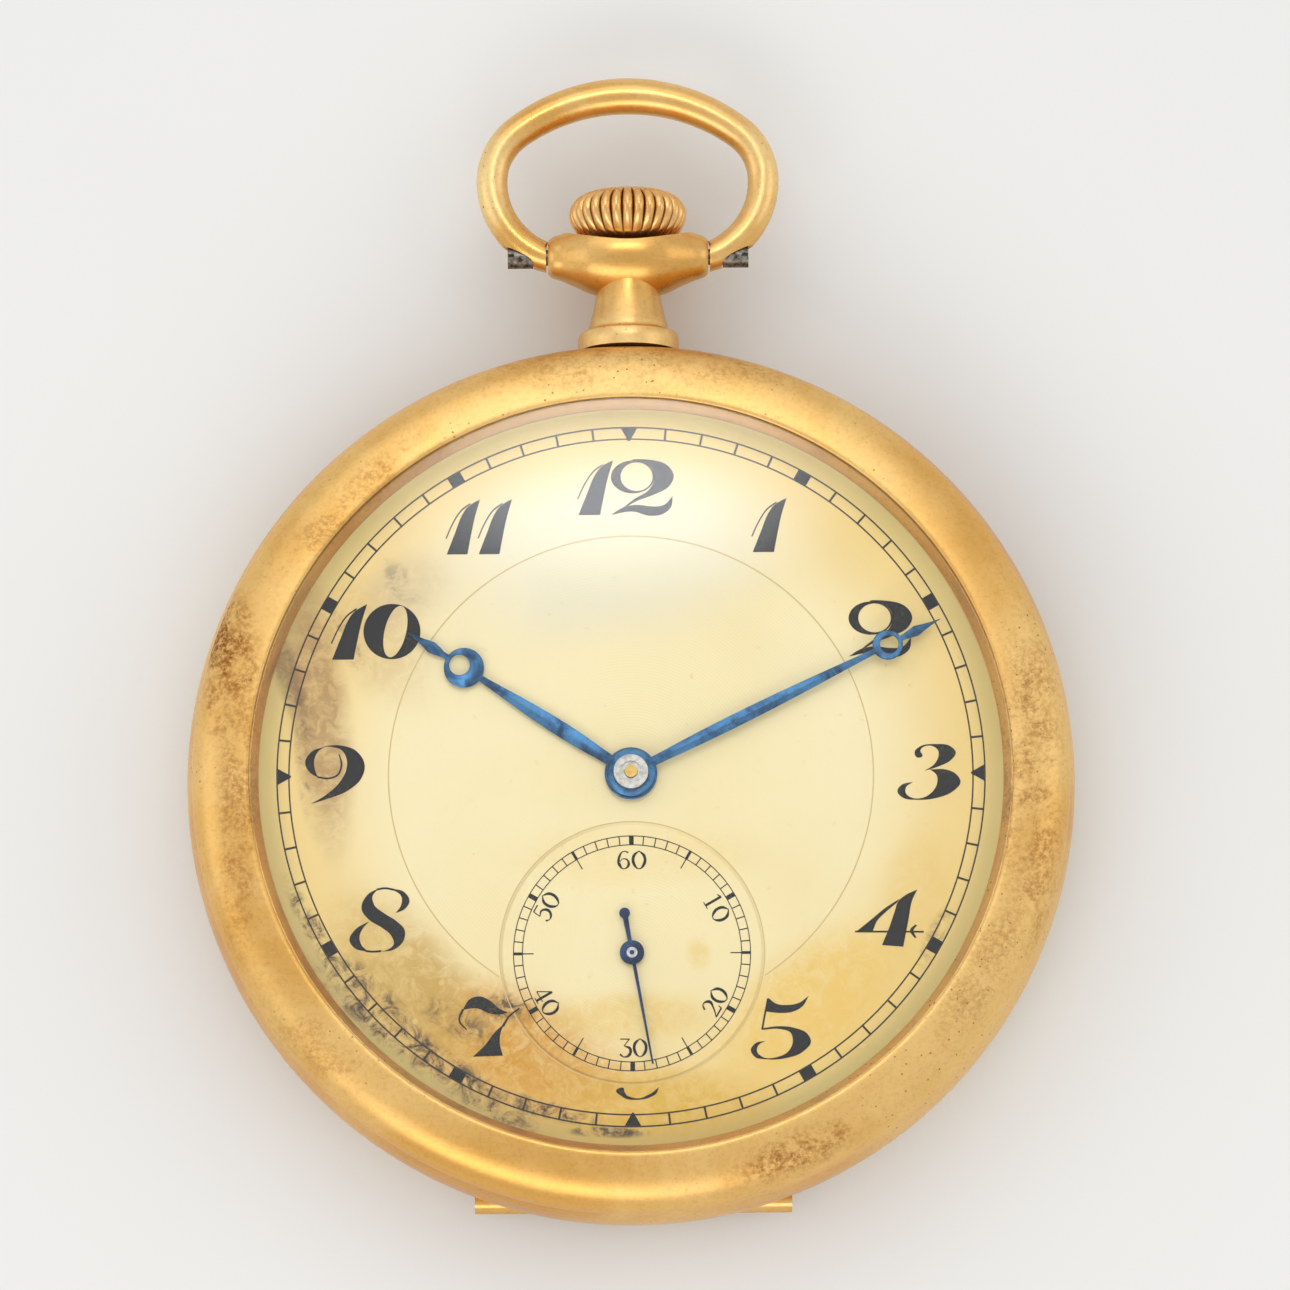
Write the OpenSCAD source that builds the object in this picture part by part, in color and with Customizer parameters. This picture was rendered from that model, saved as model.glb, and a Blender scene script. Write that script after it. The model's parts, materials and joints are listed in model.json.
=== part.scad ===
// Open-face pocket watch with small seconds, crown winding and a two-lid back.
// The watch lies on its back: +Z leaves the dial, +Y points to twelve o'clock and the bow.
// The origin is on the centre arbor, in the flat of the back cover.

/* [Case] */
// Diameter of the case band
case_d = 50; // [49.9:0.1:50.4]
// Diameter of the opening in the bezel
opening_d = 42.76; // [42.6:0.02:42.9]
// Height of the middle of the crystal above the table
watch_h = 9.95; // [9.8:0.05:10.4]
// Diameter of the flat that the back cover rests on
back_flat_d = 26; // [20:1:30]
// Length of the straight hinge of the two back lids
hinge_l = 17.8; // [17:0.2:18.4]

/* [Bow and crown] */
// Diameter of the bow's wire
bow_wire_d = 1.84; // [1.76:0.02:1.88]
// Half the width of the bow, to the middle of its wire
bow_half_w = 7.67; // [7.6:0.01:7.8]
// Diameter of the winding crown
crown_d = 6.7; // [6.4:0.1:6.9]
// Number of ribs on the crown
crown_ribs = 26; // [20:1:30]

/* [Dial and hands] */
// Diameter of the dial
dial_d = 41.9; // [41.7:0.05:41.9]
// Distance from the centre to the small seconds
seconds_drop = 10.06; // [10:0.02:10.12]
// Length of the hour hand from the centre
hour_hand_l = 14.9; // [14:0.1:15.4]
// Length of the minute hand from the centre
minute_hand_l = 19.4; // [18.5:0.1:19.6]
// Length of the seconds hand from its own centre
seconds_hand_l = 6.35; // [5.8:0.05:6.5]
// Time shown, in minutes after ten o'clock
minutes_past_ten = 10.6; // [0:0.1:20]
// Seconds shown
seconds_shown = 28.3; // [0:0.1:59]

/* [Movement] */
// Diameter of the main plate
plate_d = 40.8; // [40.4:0.1:40.9]
// Diameter of the balance over its rim
balance_d = 12.4; // [12:0.1:12.6]

/* [Hidden] */

$fn = 96;
eps = 0.02;
seat = 0.01;

gold = "#d9a441";
gilt = "#c9a24e";
steel = "#b9bcc0";
blue = "#2c5b8c";
brass = "#d8b25a";
ruby = "#b3263e";

// levels, from the back to the crystal
z_stem = 4.3;
z_cover_rim = 2.17;
z_band_back = 2.2;
z_cuvette_seat = 2.5;
z_ratchet = 1.9;
z_bridge = 2.35;
bridge_t = 1.1;
z_wheels = z_bridge + bridge_t;
z_plate = 5.35;
z_motion = 6.1;
z_flange = 6.2;
z_dial = 6.93;
dial_t = 0.37;
z_bezel = 6.64;
z_hour = 7.6;
z_minute = 7.95;
z_second = 7.42;
hand_t = 0.15;

case_r = case_d / 2;
open_r = opening_d / 2;
plate_r = plate_d / 2;
bridge_r = plate_r - 0.6;
dial_r = dial_d / 2;
well_r = 7.35;
well_depth = 0.12;

// hinge of the two lids, along X below six o'clock
hinge_y = -(case_r - 1.6);
hinge_z = 2.2;
hinge_r = 0.7;
pin_r = 0.3;
case_knuckle = 2.4;
cuvette_knuckle = 4.6;

// pendant and bow
pivot_y = case_r + 5.36;
head_x = 4.56;
bow_end_x = head_x + 0.19;
wire_r = bow_wire_d / 2;
crown_r = crown_d / 2;
crown_y = case_r + 6.1;
crown_h = 2.93;
bow_screw_r = 0.45;

// wheel centres, seen from the dial
barrel_p = polar(9, 30);
centre_p = [0, 0];
third_p = [-2.6622, -5.7097];
fourth_p = [0, -seconds_drop];
escape_p = fourth_p + polar(4.4, -60);
balance_p = [8.8, -9.96];
pallet_dir = dir(escape_p, balance_p);
pallet_p = escape_p + polar(3.1, pallet_dir);
crown_wheel_p = [0, barrel_p[1] + sqrt(10.1 * 10.1 - barrel_p[0] * barrel_p[0])];
minute_p = [0, 4.8];
setting_p = [0, 10.4];
click_p = [7.13, 12.07];
cock_foot_p = [16, -4.3];
pallet_foot_p = [6.6, -15.2];
lever_p = [-4.5, 17.6];
yoke_p = [-6.5, 13.2];
spring_screw_p = [-7.3, 17.2];

// tooth shapes: tip and root height in modules, then widths at root, pitch and tip in pitches
wheel_form = [0.9, 1.2, 0.52, 0.42, 0.2];
leaf_form = [0.8, 1.2, 0.46, 0.34, 0.14];

pivot_r = 0.12;
jewel_r = 0.55;
arbor_r = 0.3;

function polar(r, a) = [r * cos(a), r * sin(a)];
function dir(p, q) = atan2(q[1] - p[1], q[0] - p[0]);

// points of a circular arc that rises from height z0 at radius r0 to z1 on the axis
function dome(r0, z0, z1, n = 12) =
    let (s = z1 - z0, ball = (r0 * r0 + s * s) / (2 * s))
    [for (i = [0:n]) let (r = r0 * (1 - i / n)) [r, z1 - ball + sqrt(ball * ball - r * r)]];

function tooth(n, m, form, a) =
    let (rp = m * n / 2, step = 360 / n / 2)
    [
        polar(rp - form[1] * m, a - form[2] * step),
        polar(rp, a - form[3] * step),
        polar(rp + form[0] * m, a - form[4] * step),
        polar(rp + form[0] * m, a + form[4] * step),
        polar(rp, a + form[3] * step),
        polar(rp - form[1] * m, a + form[2] * step)
    ];

// angle of a gear's first tooth so that it meshes with its neighbour at direction b
function mesh(b, phase, n, n2) = b + 180 - 360 / n2 * (0.5 - (b - phase) * n / 360);

module gear(n, m, form, phase = 0) {
    polygon([for (i = [0:n - 1]) each tooth(n, m, form, phase + 360 * i / n)]);
}

// toothed wheel with arms: rim inside radius, hub radius, arm width
module spoked_gear(n, m, phase, rim, hub, arms, arm_w) {
    difference() {
        gear(n, m, wheel_form, phase);
        difference() {
            circle(rim);
            circle(hub);
            for (i = [0:arms - 1])
                rotate(phase + 360 * i / arms)
                    translate([0, -arm_w / 2])
                        square([rim + 1, arm_w]);
        }
    }
}

module at(p, z = 0) {
    translate([p[0], p[1], z]) children();
}

module slab(z0, z1) {
    translate([0, 0, z0]) linear_extrude(z1 - z0) children();
}

module rod(r, z0, z1) {
    translate([0, 0, z0]) cylinder(r = r, h = z1 - z0);
}

module ring(r_out, r_in, z0, z1) {
    difference() {
        rod(r_out, z0, z1);
        rod(r_in, z0 - 1, z1 + 1);
    }
}

// rod along X or Y on the stem's height
module rod_x(r, x0, x1) {
    translate([x0, 0, 0]) rotate([0, 90, 0]) cylinder(r = r, h = x1 - x0);
}

module rod_y(r, y0, y1) {
    translate([0, y0, z_stem]) rotate([-90, 0, 0]) cylinder(r = r, h = y1 - y0);
}

module turned_y(points) {
    translate([0, 0, z_stem]) rotate([-90, 0, 0]) rotate_extrude() polygon(points);
}

// arbor with a pivot at each end
module arbor(p, z0, z1, r = arbor_r) {
    at(p) {
        rod(r, z0, z1);
        rod(pivot_r, z_bridge + 0.1, z0 + eps);
        rod(pivot_r, z1 - eps, z_plate + 0.35);
    }
}

module screw(p, head_r, head_z, head_t, shank_r, shank_end) {
    at(p) difference() {
        union() {
            rod(head_r, head_z, head_z + head_t);
            rod(shank_r, head_z + head_t - eps, shank_end);
        }
        translate([-head_r, -0.09, head_z - 1])
            cube([2 * head_r, 0.18, 1 + head_t * 0.45]);
    }
}

// sector of a flat ring
module sector(r_in, r_out, a0, a1) {
    difference() {
        circle(r_out);
        circle(r_in);
        rotate(a0) translate([-50, -50]) square([100, 50]);
        rotate(a1) translate([-50, 0]) square([100, 50]);
    }
}

// ---- case ----

back_drop = 1.35;
function back_z(r) = back_drop * pow((r - back_flat_d / 2) / 10.6, 2);
function back_curve(r0, r1, lift, n = 8) =
    [for (i = [0:n]) let (r = r0 + (r1 - r0) * i / n) [r, back_z(r) + lift]];

module mid_case() {
    color(gold) difference() {
        union() {
            difference() {
                rotate_extrude($fn = 180) polygon([
                    [plate_r + 0.1, z_cuvette_seat], [case_r - 2.12, z_cuvette_seat],
                    [case_r - 2.12, z_band_back], [case_r - 0.6, z_band_back],
                    [case_r - 0.38, 2.6], [case_r - 0.15, 3.2], [case_r - 0.02, 4],
                    [case_r, 4.6], [case_r - 0.03, 5.3], [case_r - 0.15, 6],
                    [case_r - 0.3, 6.45], [case_r - 0.38, 6.6], [case_r - 1.5, 6.6],
                    [case_r - 1.5, 7.31], [plate_r + 0.7, 7.31],
                    [plate_r + 0.7, z_flange - 0.05], [plate_r + 0.1, z_flange - 0.05]
                ]);
                // straight seat of the hinge
                translate([-hinge_l / 2 - 0.1, -case_r - 1, 0])
                    cube([hinge_l + 0.2, case_r + 2.02 + hinge_y, hinge_z + 0.76]);
            }
            // middle knuckle and the web that carries it
            translate([0, hinge_y, hinge_z]) rod_x(hinge_r, -case_knuckle, case_knuckle);
            translate([-case_knuckle, hinge_y - 0.5, hinge_z])
                cube([2 * case_knuckle, 1, 1]);
        }
        translate([0, hinge_y, hinge_z]) rod_x(pin_r, -case_knuckle - 1, case_knuckle + 1);
        rod_y(0.8, plate_r - 1, case_r + 1);
        rod_y(2.85, case_r - 0.2, case_r + 1);
        // pockets for the screws that hold the movement
        for (p = case_screw_at)
            at(p) rod(1.55, z_cuvette_seat - 0.5, z_cuvette_seat + 0.42);
        // nail nick for opening the back
        rotate(68) translate([case_r + 0.5, 0, z_band_back]) sphere(r = 1.2);
    }
}

module pendant() {
    color(gold) difference() {
        union() {
            turned_y([
                [0, case_r - 0.18], [2.83, case_r - 0.18], [2.83, case_r + 0.78],
                [2.72, case_r + 0.9], [2.36, case_r + 0.95], [2.16, case_r + 1.6],
                [1.95, case_r + 2.4], [1.8, case_r + 3.2], [1.75, case_r + 4], [0, case_r + 4]
            ]);
            translate([0, pivot_y, z_stem]) rotate([0, 90, 0]) rotate_extrude() polygon([
                [0, -head_x], [0.97, -head_x], [1.02, -head_x + 0.06], [1.66, -3.03],
                [2.08, -2.2], [2.3, -1.4], [2.4, 0], [2.3, 1.4], [2.08, 2.2],
                [1.66, 3.03], [1.02, head_x - 0.06], [0.97, head_x], [0, head_x]
            ]);
        }
        // seat of the crown
        translate([0, crown_y + 5.8, z_stem]) sphere(r = 6);
        rod_y(0.75, case_r - 2, crown_y + 1);
        for (side = [0, 1])
            mirror([side, 0, 0])
                translate([0, pivot_y, z_stem]) rod_x(bow_screw_r, 3.1, head_x + 1);
    }
}

module bezel() {
    color(gold) rotate_extrude($fn = 180) polygon([
        [case_r - 0.34, z_bezel], [case_r - 0.38, 7.0], [case_r - 0.55, 7.4],
        [case_r - 0.9, 7.85], [case_r - 1.4, 8.2], [case_r - 2, 8.45], [case_r - 2.7, 8.62],
        [open_r + 0.36, 8.7], [open_r + 0.12, 8.68], [open_r, 8.6], [open_r, 8.46],
        [open_r + 0.38, 8.46], [open_r + 0.38, 8.08], [open_r - 0.08, 8.08],
        [open_r - 0.52, 7.5], [open_r - 0.52, 7.35], [case_r - 1.46, 7.35],
        [case_r - 1.46, z_bezel]
    ]);
}

module crystal() {
    color("#dfe9ee", 0.35) rotate_extrude($fn = 180) polygon(concat(
        [[open_r + 0.35, 8.11], [open_r + 0.35, 8.43]],
        dome(open_r - 0.03, 8.43, watch_h),
        [for (i = [12:-1:0]) dome(open_r - 0.08, 8.11, watch_h - 1)[i]]
    ));
}

module lid_knuckles(from, to, web_y, web_z, web_h) {
    for (side = [0, 1])
        mirror([side, 0, 0]) {
            translate([0, hinge_y, hinge_z]) rod_x(hinge_r, from, to);
            translate([from, hinge_y, web_z])
                cube([to - from, web_y - hinge_y, web_h]);
        }
}

module back_cover() {
    rim_r = case_r - 0.6;
    lip_r = case_r - 2.1;
    color(gold) difference() {
        union() {
            difference() {
                rotate_extrude($fn = 180) polygon(concat(
                    [[0, 0]],
                    back_curve(back_flat_d / 2, rim_r - 0.5, 0),
                    [[rim_r - 0.1, 1.75], [rim_r, z_cover_rim], [lip_r, z_cover_rim]],
                    [for (i = [8:-1:0]) back_curve(back_flat_d / 2, lip_r, 0.45)[i]],
                    [[0, 0.45]]
                ));
                translate([-hinge_l / 2 - 0.1, -case_r - 1, -1])
                    cube([hinge_l + 0.2, case_r + 1.78 + hinge_y, 5]);
            }
            lid_knuckles(cuvette_knuckle + 0.05, hinge_l / 2, hinge_y + 0.95, 1.3, 0.45);
        }
        translate([0, hinge_y, hinge_z]) rod_x(pin_r + 0.04, -hinge_l, hinge_l);
    }
}

module cuvette() {
    color(gold) difference() {
        union() {
            rotate_extrude($fn = 180) polygon([
                [0, 1.3], [17.5, 1.3], [18.6, 1.55], [20.4, 2.12], [22, 2.12], [22, 2.47],
                [20.5, 2.47], [18.4, 1.82], [17.3, 1.65], [0, 1.65]
            ]);
            lid_knuckles(case_knuckle + 0.05, cuvette_knuckle, -21, 2.19, 0.26);
        }
        translate([0, hinge_y, hinge_z]) rod_x(pin_r + 0.04, -hinge_l, hinge_l);
    }
}

module hinge_pin() {
    color(gold) translate([0, hinge_y, hinge_z])
        rod_x(pin_r, -hinge_l / 2 + 0.05, hinge_l / 2 - 0.05);
}

// ---- bow and crown ----

module wire_arc(c, r, a0, a1, w) {
    translate([c[0], c[1], 0]) rotate(a0)
        rotate_extrude(angle = a1 - a0) translate([r, 0]) circle(w, $fn = 48);
}

// half of the bow, from its end up to the top, in tangent stretches of slowly growing wire
bow_lean = 24;
bow_rise = 9.4;
bow_flat = [bow_end_x, 0];
bow_r1 = (bow_half_w - bow_flat[0]) / (1 - sin(bow_lean));
bow_side_y = bow_flat[1] + bow_r1 * cos(bow_lean);
bow_b = bow_rise - bow_side_y;
bow_turn = 53;
bow_d = (bow_half_w - bow_b) / (cos(bow_turn) + sin(bow_turn) - 1);
bow_r2 = bow_b - bow_d * (1 - sin(bow_turn));
bow_r3 = bow_r2 + bow_d;

module half_bow() {
    wire_arc([bow_half_w - bow_r1, bow_side_y], bow_r1, bow_lean - 104, 2, wire_r - 0.03);
    wire_arc([bow_half_w - bow_r2, bow_side_y], bow_r2, 0, bow_turn + 2, wire_r - 0.01);
}

module bow() {
    color(gold) translate([0, pivot_y, z_stem]) difference() {
        union() {
            for (side = [0, 1]) mirror([side, 0, 0]) half_bow();
            wire_arc([0, bow_rise - bow_r3], bow_r3, bow_turn, 180 - bow_turn, wire_r + 0.03);
        }
        translate([-bow_end_x, -3, -3]) cube([2 * bow_end_x, 6, 6]);
        rod_x(bow_screw_r + 0.05, -7, 7);
        for (side = [0, 1]) mirror([side, 0, 0]) rod_x(0.7, 5.35, 9);
    }
}

module bow_screws() {
    color(steel) for (side = [0, 1])
        mirror([side, 0, 0])
            translate([0, pivot_y, z_stem]) difference() {
                union() {
                    rod_x(bow_screw_r, 3.2, 5.42);
                    rod_x(0.62, 5.4, 6.85);
                }
                translate([6.5, -0.1, -1]) cube([1, 0.2, 2]);
            }
}

module crown() {
    color(gold) difference() {
        turned_y([
            [0, crown_y + 0.08], [1.8, crown_y + 0.24], [crown_r - 0.45, crown_y + 0.68],
            [crown_r - 0.12, crown_y + 1.1], [crown_r, crown_y + 1.5],
            [crown_r - 0.1, crown_y + 1.95], [crown_r - 0.42, crown_y + 2.4],
            [crown_r - 1.05, crown_y + 2.72], [1.4, crown_y + crown_h - 0.05],
            [0, crown_y + crown_h]
        ]);
        rod_y(0.6, crown_y - 1, crown_y + 1.6);
        for (i = [0:crown_ribs - 1])
            translate([0, 0, z_stem]) rotate([0, 360 * (i + 0.5) / crown_ribs, 0])
                translate([crown_r + 0.06, crown_y, 0]) rotate([-90, 0, 0])
                    cylinder(r = 0.24, h = 3, $fn = 24);
    }
}

module stem() {
    color(steel) difference() {
        union() {
            rod_y(0.4, 10.5, 11.95);
            intersection() {
                rod_y(0.6, 11.9, 14.9);
                translate([-0.42, 11, z_stem - 0.42]) cube([0.84, 5, 0.84]);
            }
            rod_y(0.6, 14.6, crown_y + 1.58);
        }
        // groove for the setting lever
        translate([0, 17.3, z_stem]) rotate([-90, 0, 0]) difference() {
            cylinder(r = 1, h = 0.62);
            translate([0, 0, -1]) cylinder(r = 0.35, h = 3);
        }
    }
}

// ---- dial and hands ----

module dial() {
    color("#ecd58c") difference() {
        union() {
            rod(dial_r, z_dial, z_dial + dial_t);
            for (a = [55, 195, 300]) at(polar(18.4, a)) rod(0.4, z_dial - 0.8, z_dial + eps);
        }
        rod(1.15, z_dial - 1, z_dial + 1);
        at(fourth_p) rod(well_r, z_dial + dial_t - well_depth, z_dial + 1);
        at(fourth_p) rod(0.4, z_dial - 1, z_dial + 1);
    }
}

// hand with an open ring near its tip, along +Y before it is turned to the time
module hand_outline(l, hub, ring_at, ring_r, hole_r, hole_off, w0, w1, tip) {
    difference() {
        union() {
            circle(hub);
            polygon([
                [-w0 / 2, 0], [w0 / 2, 0], [w1 / 2, ring_at * 0.62], [w0 / 2, ring_at],
                [-w0 / 2, ring_at], [-w1 / 2, ring_at * 0.62]
            ]);
            translate([0, ring_at]) circle(ring_r);
            polygon([
                [-ring_r * 0.7, ring_at + ring_r * 0.6], [ring_r * 0.7, ring_at + ring_r * 0.6],
                [tip, ring_at + ring_r * 1.9], [0.04, l], [-0.04, l], [-tip, ring_at + ring_r * 1.9]
            ]);
        }
        translate([0, ring_at + hole_off]) circle(hole_r);
    }
}

hour_a = -(300 + minutes_past_ten / 2 - 2.3);
minute_a = -minutes_past_ten * 6;
second_a = -seconds_shown * 6;

module hour_hand() {
    color(blue) slab(z_hour, z_hour + hand_t) difference() {
        rotate(hour_a) hand_outline(hour_hand_l, 1.47, 11.1, 1.13, 0.58, 0.3, 0.34, 0.8, 0.3);
        circle(1);
    }
}

module minute_hand() {
    color(blue) slab(z_minute, z_minute + hand_t) difference() {
        rotate(minute_a) hand_outline(minute_hand_l, 1.3, 16.1, 0.85, 0.52, 0.1, 0.32, 0.72, 0.24);
        circle(0.7);
    }
}

module seconds_hand() {
    color(blue) at(fourth_p) difference() {
        union() {
            slab(z_second, z_second + 0.12) rotate(second_a) {
                circle(0.68);
                polygon([[-0.16, -2.1], [0.16, -2.1], [0.1, 1], [0.04, seconds_hand_l],
                         [-0.04, seconds_hand_l], [-0.1, 1]]);
                translate([0, -2.1]) circle(0.3);
            }
            rod(0.34, z_dial + dial_t - well_depth + 0.06, z_second + 0.1);
        }
        rod(0.15, z_dial - 1, z_second - 0.02);
    }
}

// ---- plates and bridges ----

bridge_screw_at = [[-9, 12.5], [-15.5, 6.5], [9.25, 16.02], [-13.5, -2], [-11.5, -10.5]];
case_screw_at = [polar(19.3, 50), polar(19.3, 135), polar(19.3, 215)];
balance_room = 6.9;

module bridge_holes() {
    for (p = concat(bridge_screw_at, [cock_foot_p]))
        at(p) {
            rod(0.95, 0, z_bridge + 0.45);
            rod(0.45, 0, z_plate);
        }
    for (p = case_screw_at)
        at(p) {
            rod(1.52, 0, z_cuvette_seat + 0.4);
            rod(0.65, 0, z_plate);
        }
}

module main_plate() {
    color(gilt) difference() {
        union() {
            rod(plate_r, z_plate, z_flange + eps);
            rod(plate_r + 0.6, z_flange, z_dial - 0.03);
            // bearing blocks of the stem
            intersection() {
                rod(plate_r - 0.3, z_wheels + eps, z_plate + eps);
                union() {
                    translate([-3.2, 17.1, 0]) cube([6.4, 5, 9]);
                    translate([-1.2, 10.4, 0]) cube([2.4, 1.2, 9]);
                }
            }
        }
        // room for the motion work and the setting work under the dial
        rod(4.3, z_motion, 9);
        at(minute_p) rod(3.95, z_motion, 9);
        at(setting_p) rod(2.4, z_motion, 9);
        intersection() {
            rod(19.9, z_motion, 9);
            translate([-9, 12.2, z_motion]) cube([11.4, 6.6, 3]);
        }
        // window of the winding and sliding pinions
        translate([-2.25, 11.8, z_plate - 1]) cube([4.5, 5.3, 2.1]);
        // way of the setting lever's pin
        translate([-1, 17.15, z_wheels]) cube([0.85, 1.7, 4]);
        rod_y(0.43, 10, 12);
        rod_y(0.64, 17, 22);
        rod(0.53, z_plate - 1, 9);
        at(barrel_p) rod(0.62, z_plate - 1, 9);
        for (p = [third_p, fourth_p, escape_p, pallet_p, balance_p])
            at(p) rod(jewel_r, z_plate - 1, 9);
        for (p = concat(bridge_screw_at, case_screw_at, [cock_foot_p]))
            at(p) rod(0.45, z_plate - 1, 9);
        at(pallet_foot_p) rod(0.3, z_plate - 1, 9);
        for (a = [55, 195, 300]) at(polar(18.4, a)) rod(0.45, z_plate - 1, 9);
        at(lever_p) rod(0.4, z_plate - 1, 9);
        at(yoke_p) rod(0.4, z_plate - 1, 9);
        at(spring_screw_p) rod(0.32, z_plate - 1, 9);
    }
    // studs that the motion wheels turn on
    color(gilt) {
        at(minute_p) rod(0.27, z_motion - eps, 6.8);
        at(setting_p) rod(0.37, z_motion - eps, 6.55);
    }
}

module barrel_outline() {
    intersection() {
        circle(bridge_r);
        polygon([
            [-21, 2.2], [2.2, 2.2], [4.5, -0.5], [10.5, -2.2], [15.5, -0.5], [21, 4.2],
            [21, 21], [-21, 21]
        ]);
    }
}

module barrel_bridge() {
    color(gilt) difference() {
        union() {
            slab(z_bridge, z_wheels) barrel_outline();
            slab(z_wheels - eps, z_plate - seat) intersection() {
                barrel_outline();
                union() {
                    sector(17.5, 21, 30, 79);
                    sector(10, 21, 106, 175);
                }
            }
            at(crown_wheel_p) rod(1.56, z_ratchet, z_bridge + eps);
        }
        bridge_holes();
        at(barrel_p) rod(0.83, 0, 5);
        at(crown_wheel_p) rod(0.6, 0, 5);
        at(click_p) rod(0.4, 0, 5);
        // room for the sliding and winding pinions
        translate([-2.25, 11.9, 2.6]) cube([4.5, 5.2, 3]);
        translate([-2.25, 15.2, 0]) cube([4.5, 1.9, 5]);
        at([4.6, 14.9]) rod(0.35, 0, 5);
    }
}

module train_outline() {
    difference() {
        intersection() {
            circle(bridge_r);
            polygon([
                [-21, 1.8], [1.9, 1.8], [2.1, -1.5], [1.4, -3.5], [1.5, -9.5], [3, -12.6],
                [3.2, -14.6], [1.6, -15.4], [0.2, -14.4], [-1.8, -11.6], [-5.5, -10.5],
                [-12, -17], [-21, -12]
            ]);
        }
        at(balance_p) circle(balance_room);
    }
}

module train_bridge() {
    color(gilt) difference() {
        union() {
            slab(z_bridge, z_wheels) train_outline();
            slab(z_wheels - eps, z_plate - seat) intersection() {
                train_outline();
                sector(11.8, 21, 175, 228);
            }
        }
        bridge_holes();
        rod(0.32, 0, 5);
        for (p = [third_p, fourth_p, escape_p]) at(p) rod(jewel_r, 0, 5);
    }
}

module balance_cock() {
    a = dir(balance_p, cock_foot_p);
    color(gilt) difference() {
        union() {
            at(balance_p) slab(2.1, 3) {
                circle(2.2);
                rotate(a) translate([0, -1.7]) square([9, 3.4]);
            }
            at(cock_foot_p) rod(2.5, 2.1, z_plate - seat);
            at(balance_p) rod(0.77, 1.84, 2.12);
        }
        at(balance_p) rod(jewel_r, 0, 5);
        at(cock_foot_p) {
            rod(0.95, 0, z_bridge + 0.45);
            rod(0.45, 0, 9);
        }
        at(stud_p) rod(0.25, 0, 5);
    }
}

module pallet_cock() {
    a = dir(pallet_foot_p, pallet_p);
    color(gilt) difference() {
        at(pallet_foot_p) {
            rod(1.15, 4.1, z_plate - seat);
            slab(4.1, 4.45) {
                rotate(a) translate([0, -0.6]) square([3.39, 1.2]);
                rotate(a) translate([3.39, 0]) circle(0.85);
            }
        }
        at(pallet_p) rod(0.45, 0, 9);
        at(pallet_foot_p) rod(0.3, 0, 9);
        at(pallet_foot_p) rod(0.6, 0, 4.3);
    }
}

// ---- power ----

module barrel() {
    color(brass) at(barrel_p) difference() {
        union() {
            rod(7.6, 3.95, 5.2);
            slab(4.86, 5.2) gear(80, 0.2, wheel_form);
        }
        rod(7.2, 4.11, 4.95);
        rod(7.4, 3.9, 4.12);
        rod(0.84, 3, 6);
    }
}

module barrel_lid() {
    color(brass) at(barrel_p) ring(7.38, 0.84, 3.95, 4.1);
}

module barrel_arbor() {
    color(steel) at(barrel_p) difference() {
        union() {
            rod(0.8, z_bridge, 5.26);
            rod(1.6, 4.14, 4.9);
            rod(0.6, 5.2, 6);
            translate([-0.55, -0.55, z_ratchet]) cube([1.1, 1.1, 0.6]);
        }
        rod(0.35, 0, 3.2);
    }
}

// flat spiral strip: radius grows from r0 to r1 over the turns
function spiral_r(r0, r1, turns, a) = r0 + (r1 - r0) * a / (360 * turns);

module spiral(r0, r1, turns, t, steps) {
    n = turns * steps;
    polygon(concat(
        [for (i = [0:n]) let (a = 360 * i / steps) polar(spiral_r(r0, r1, turns, a) - t / 2, a)],
        [for (i = [n:-1:0]) let (a = 360 * i / steps) polar(spiral_r(r0, r1, turns, a) + t / 2, a)]
    ));
}

module mainspring() {
    color(steel) at(barrel_p) slab(4.2, 4.88) spiral(1.95, 6.95, 9, 0.14, 24);
}

crown_wheel_phase = 90;
ratchet_phase = mesh(dir(crown_wheel_p, barrel_p), crown_wheel_phase, 46, 55);

module ratchet_wheel() {
    color(steel) at(barrel_p) difference() {
        slab(z_ratchet, z_bridge - 0.02) gear(55, 0.2, wheel_form, ratchet_phase);
        translate([-0.56, -0.56, 0]) cube([1.12, 1.12, 5]);
    }
}

module ratchet_screw() {
    color(blue) screw(barrel_p, 1.3, z_ratchet - 0.17, 0.16, 0.35, 3.1);
}

module crown_wheel() {
    color(steel) at(crown_wheel_p) difference() {
        slab(z_ratchet, z_bridge - 0.02) gear(46, 0.2, wheel_form, crown_wheel_phase);
        rod(1.6, 0, 5);
    }
}

module crown_wheel_cap() {
    color(blue) screw(crown_wheel_p, 2.3, z_ratchet - 0.17, 0.16, 0.6, 3.3);
}

click_tip = barrel_p + polar(5.68 + 0.04 + 0.25, 75);

module click() {
    color(steel) difference() {
        slab(1.95, z_bridge - 0.02) {
            at(click_p) circle(0.95);
            at(click_tip) circle(0.25);
            at(click_p) rotate(dir(click_p, click_tip)) polygon([
                [0, -0.7], [2.83, -0.24], [2.83, 0.24], [0, 0.8]
            ]);
        }
        at(click_p) rod(0.43, 0, 5);
    }
}

module click_spring() {
    foot = [4.6, 14.9];
    color(steel) difference() {
        slab(2, z_bridge - 0.02) {
            at(foot) circle(0.8);
            at(click_p) difference() {
                sector(3.72, 3.86, -31, 132);
                circle(1);
            }
            at(click_p) sector(3.14, 3.8, -31, -26);
        }
        at(foot) rod(0.35, 0, 5);
    }
}

// ---- going train ----

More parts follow.
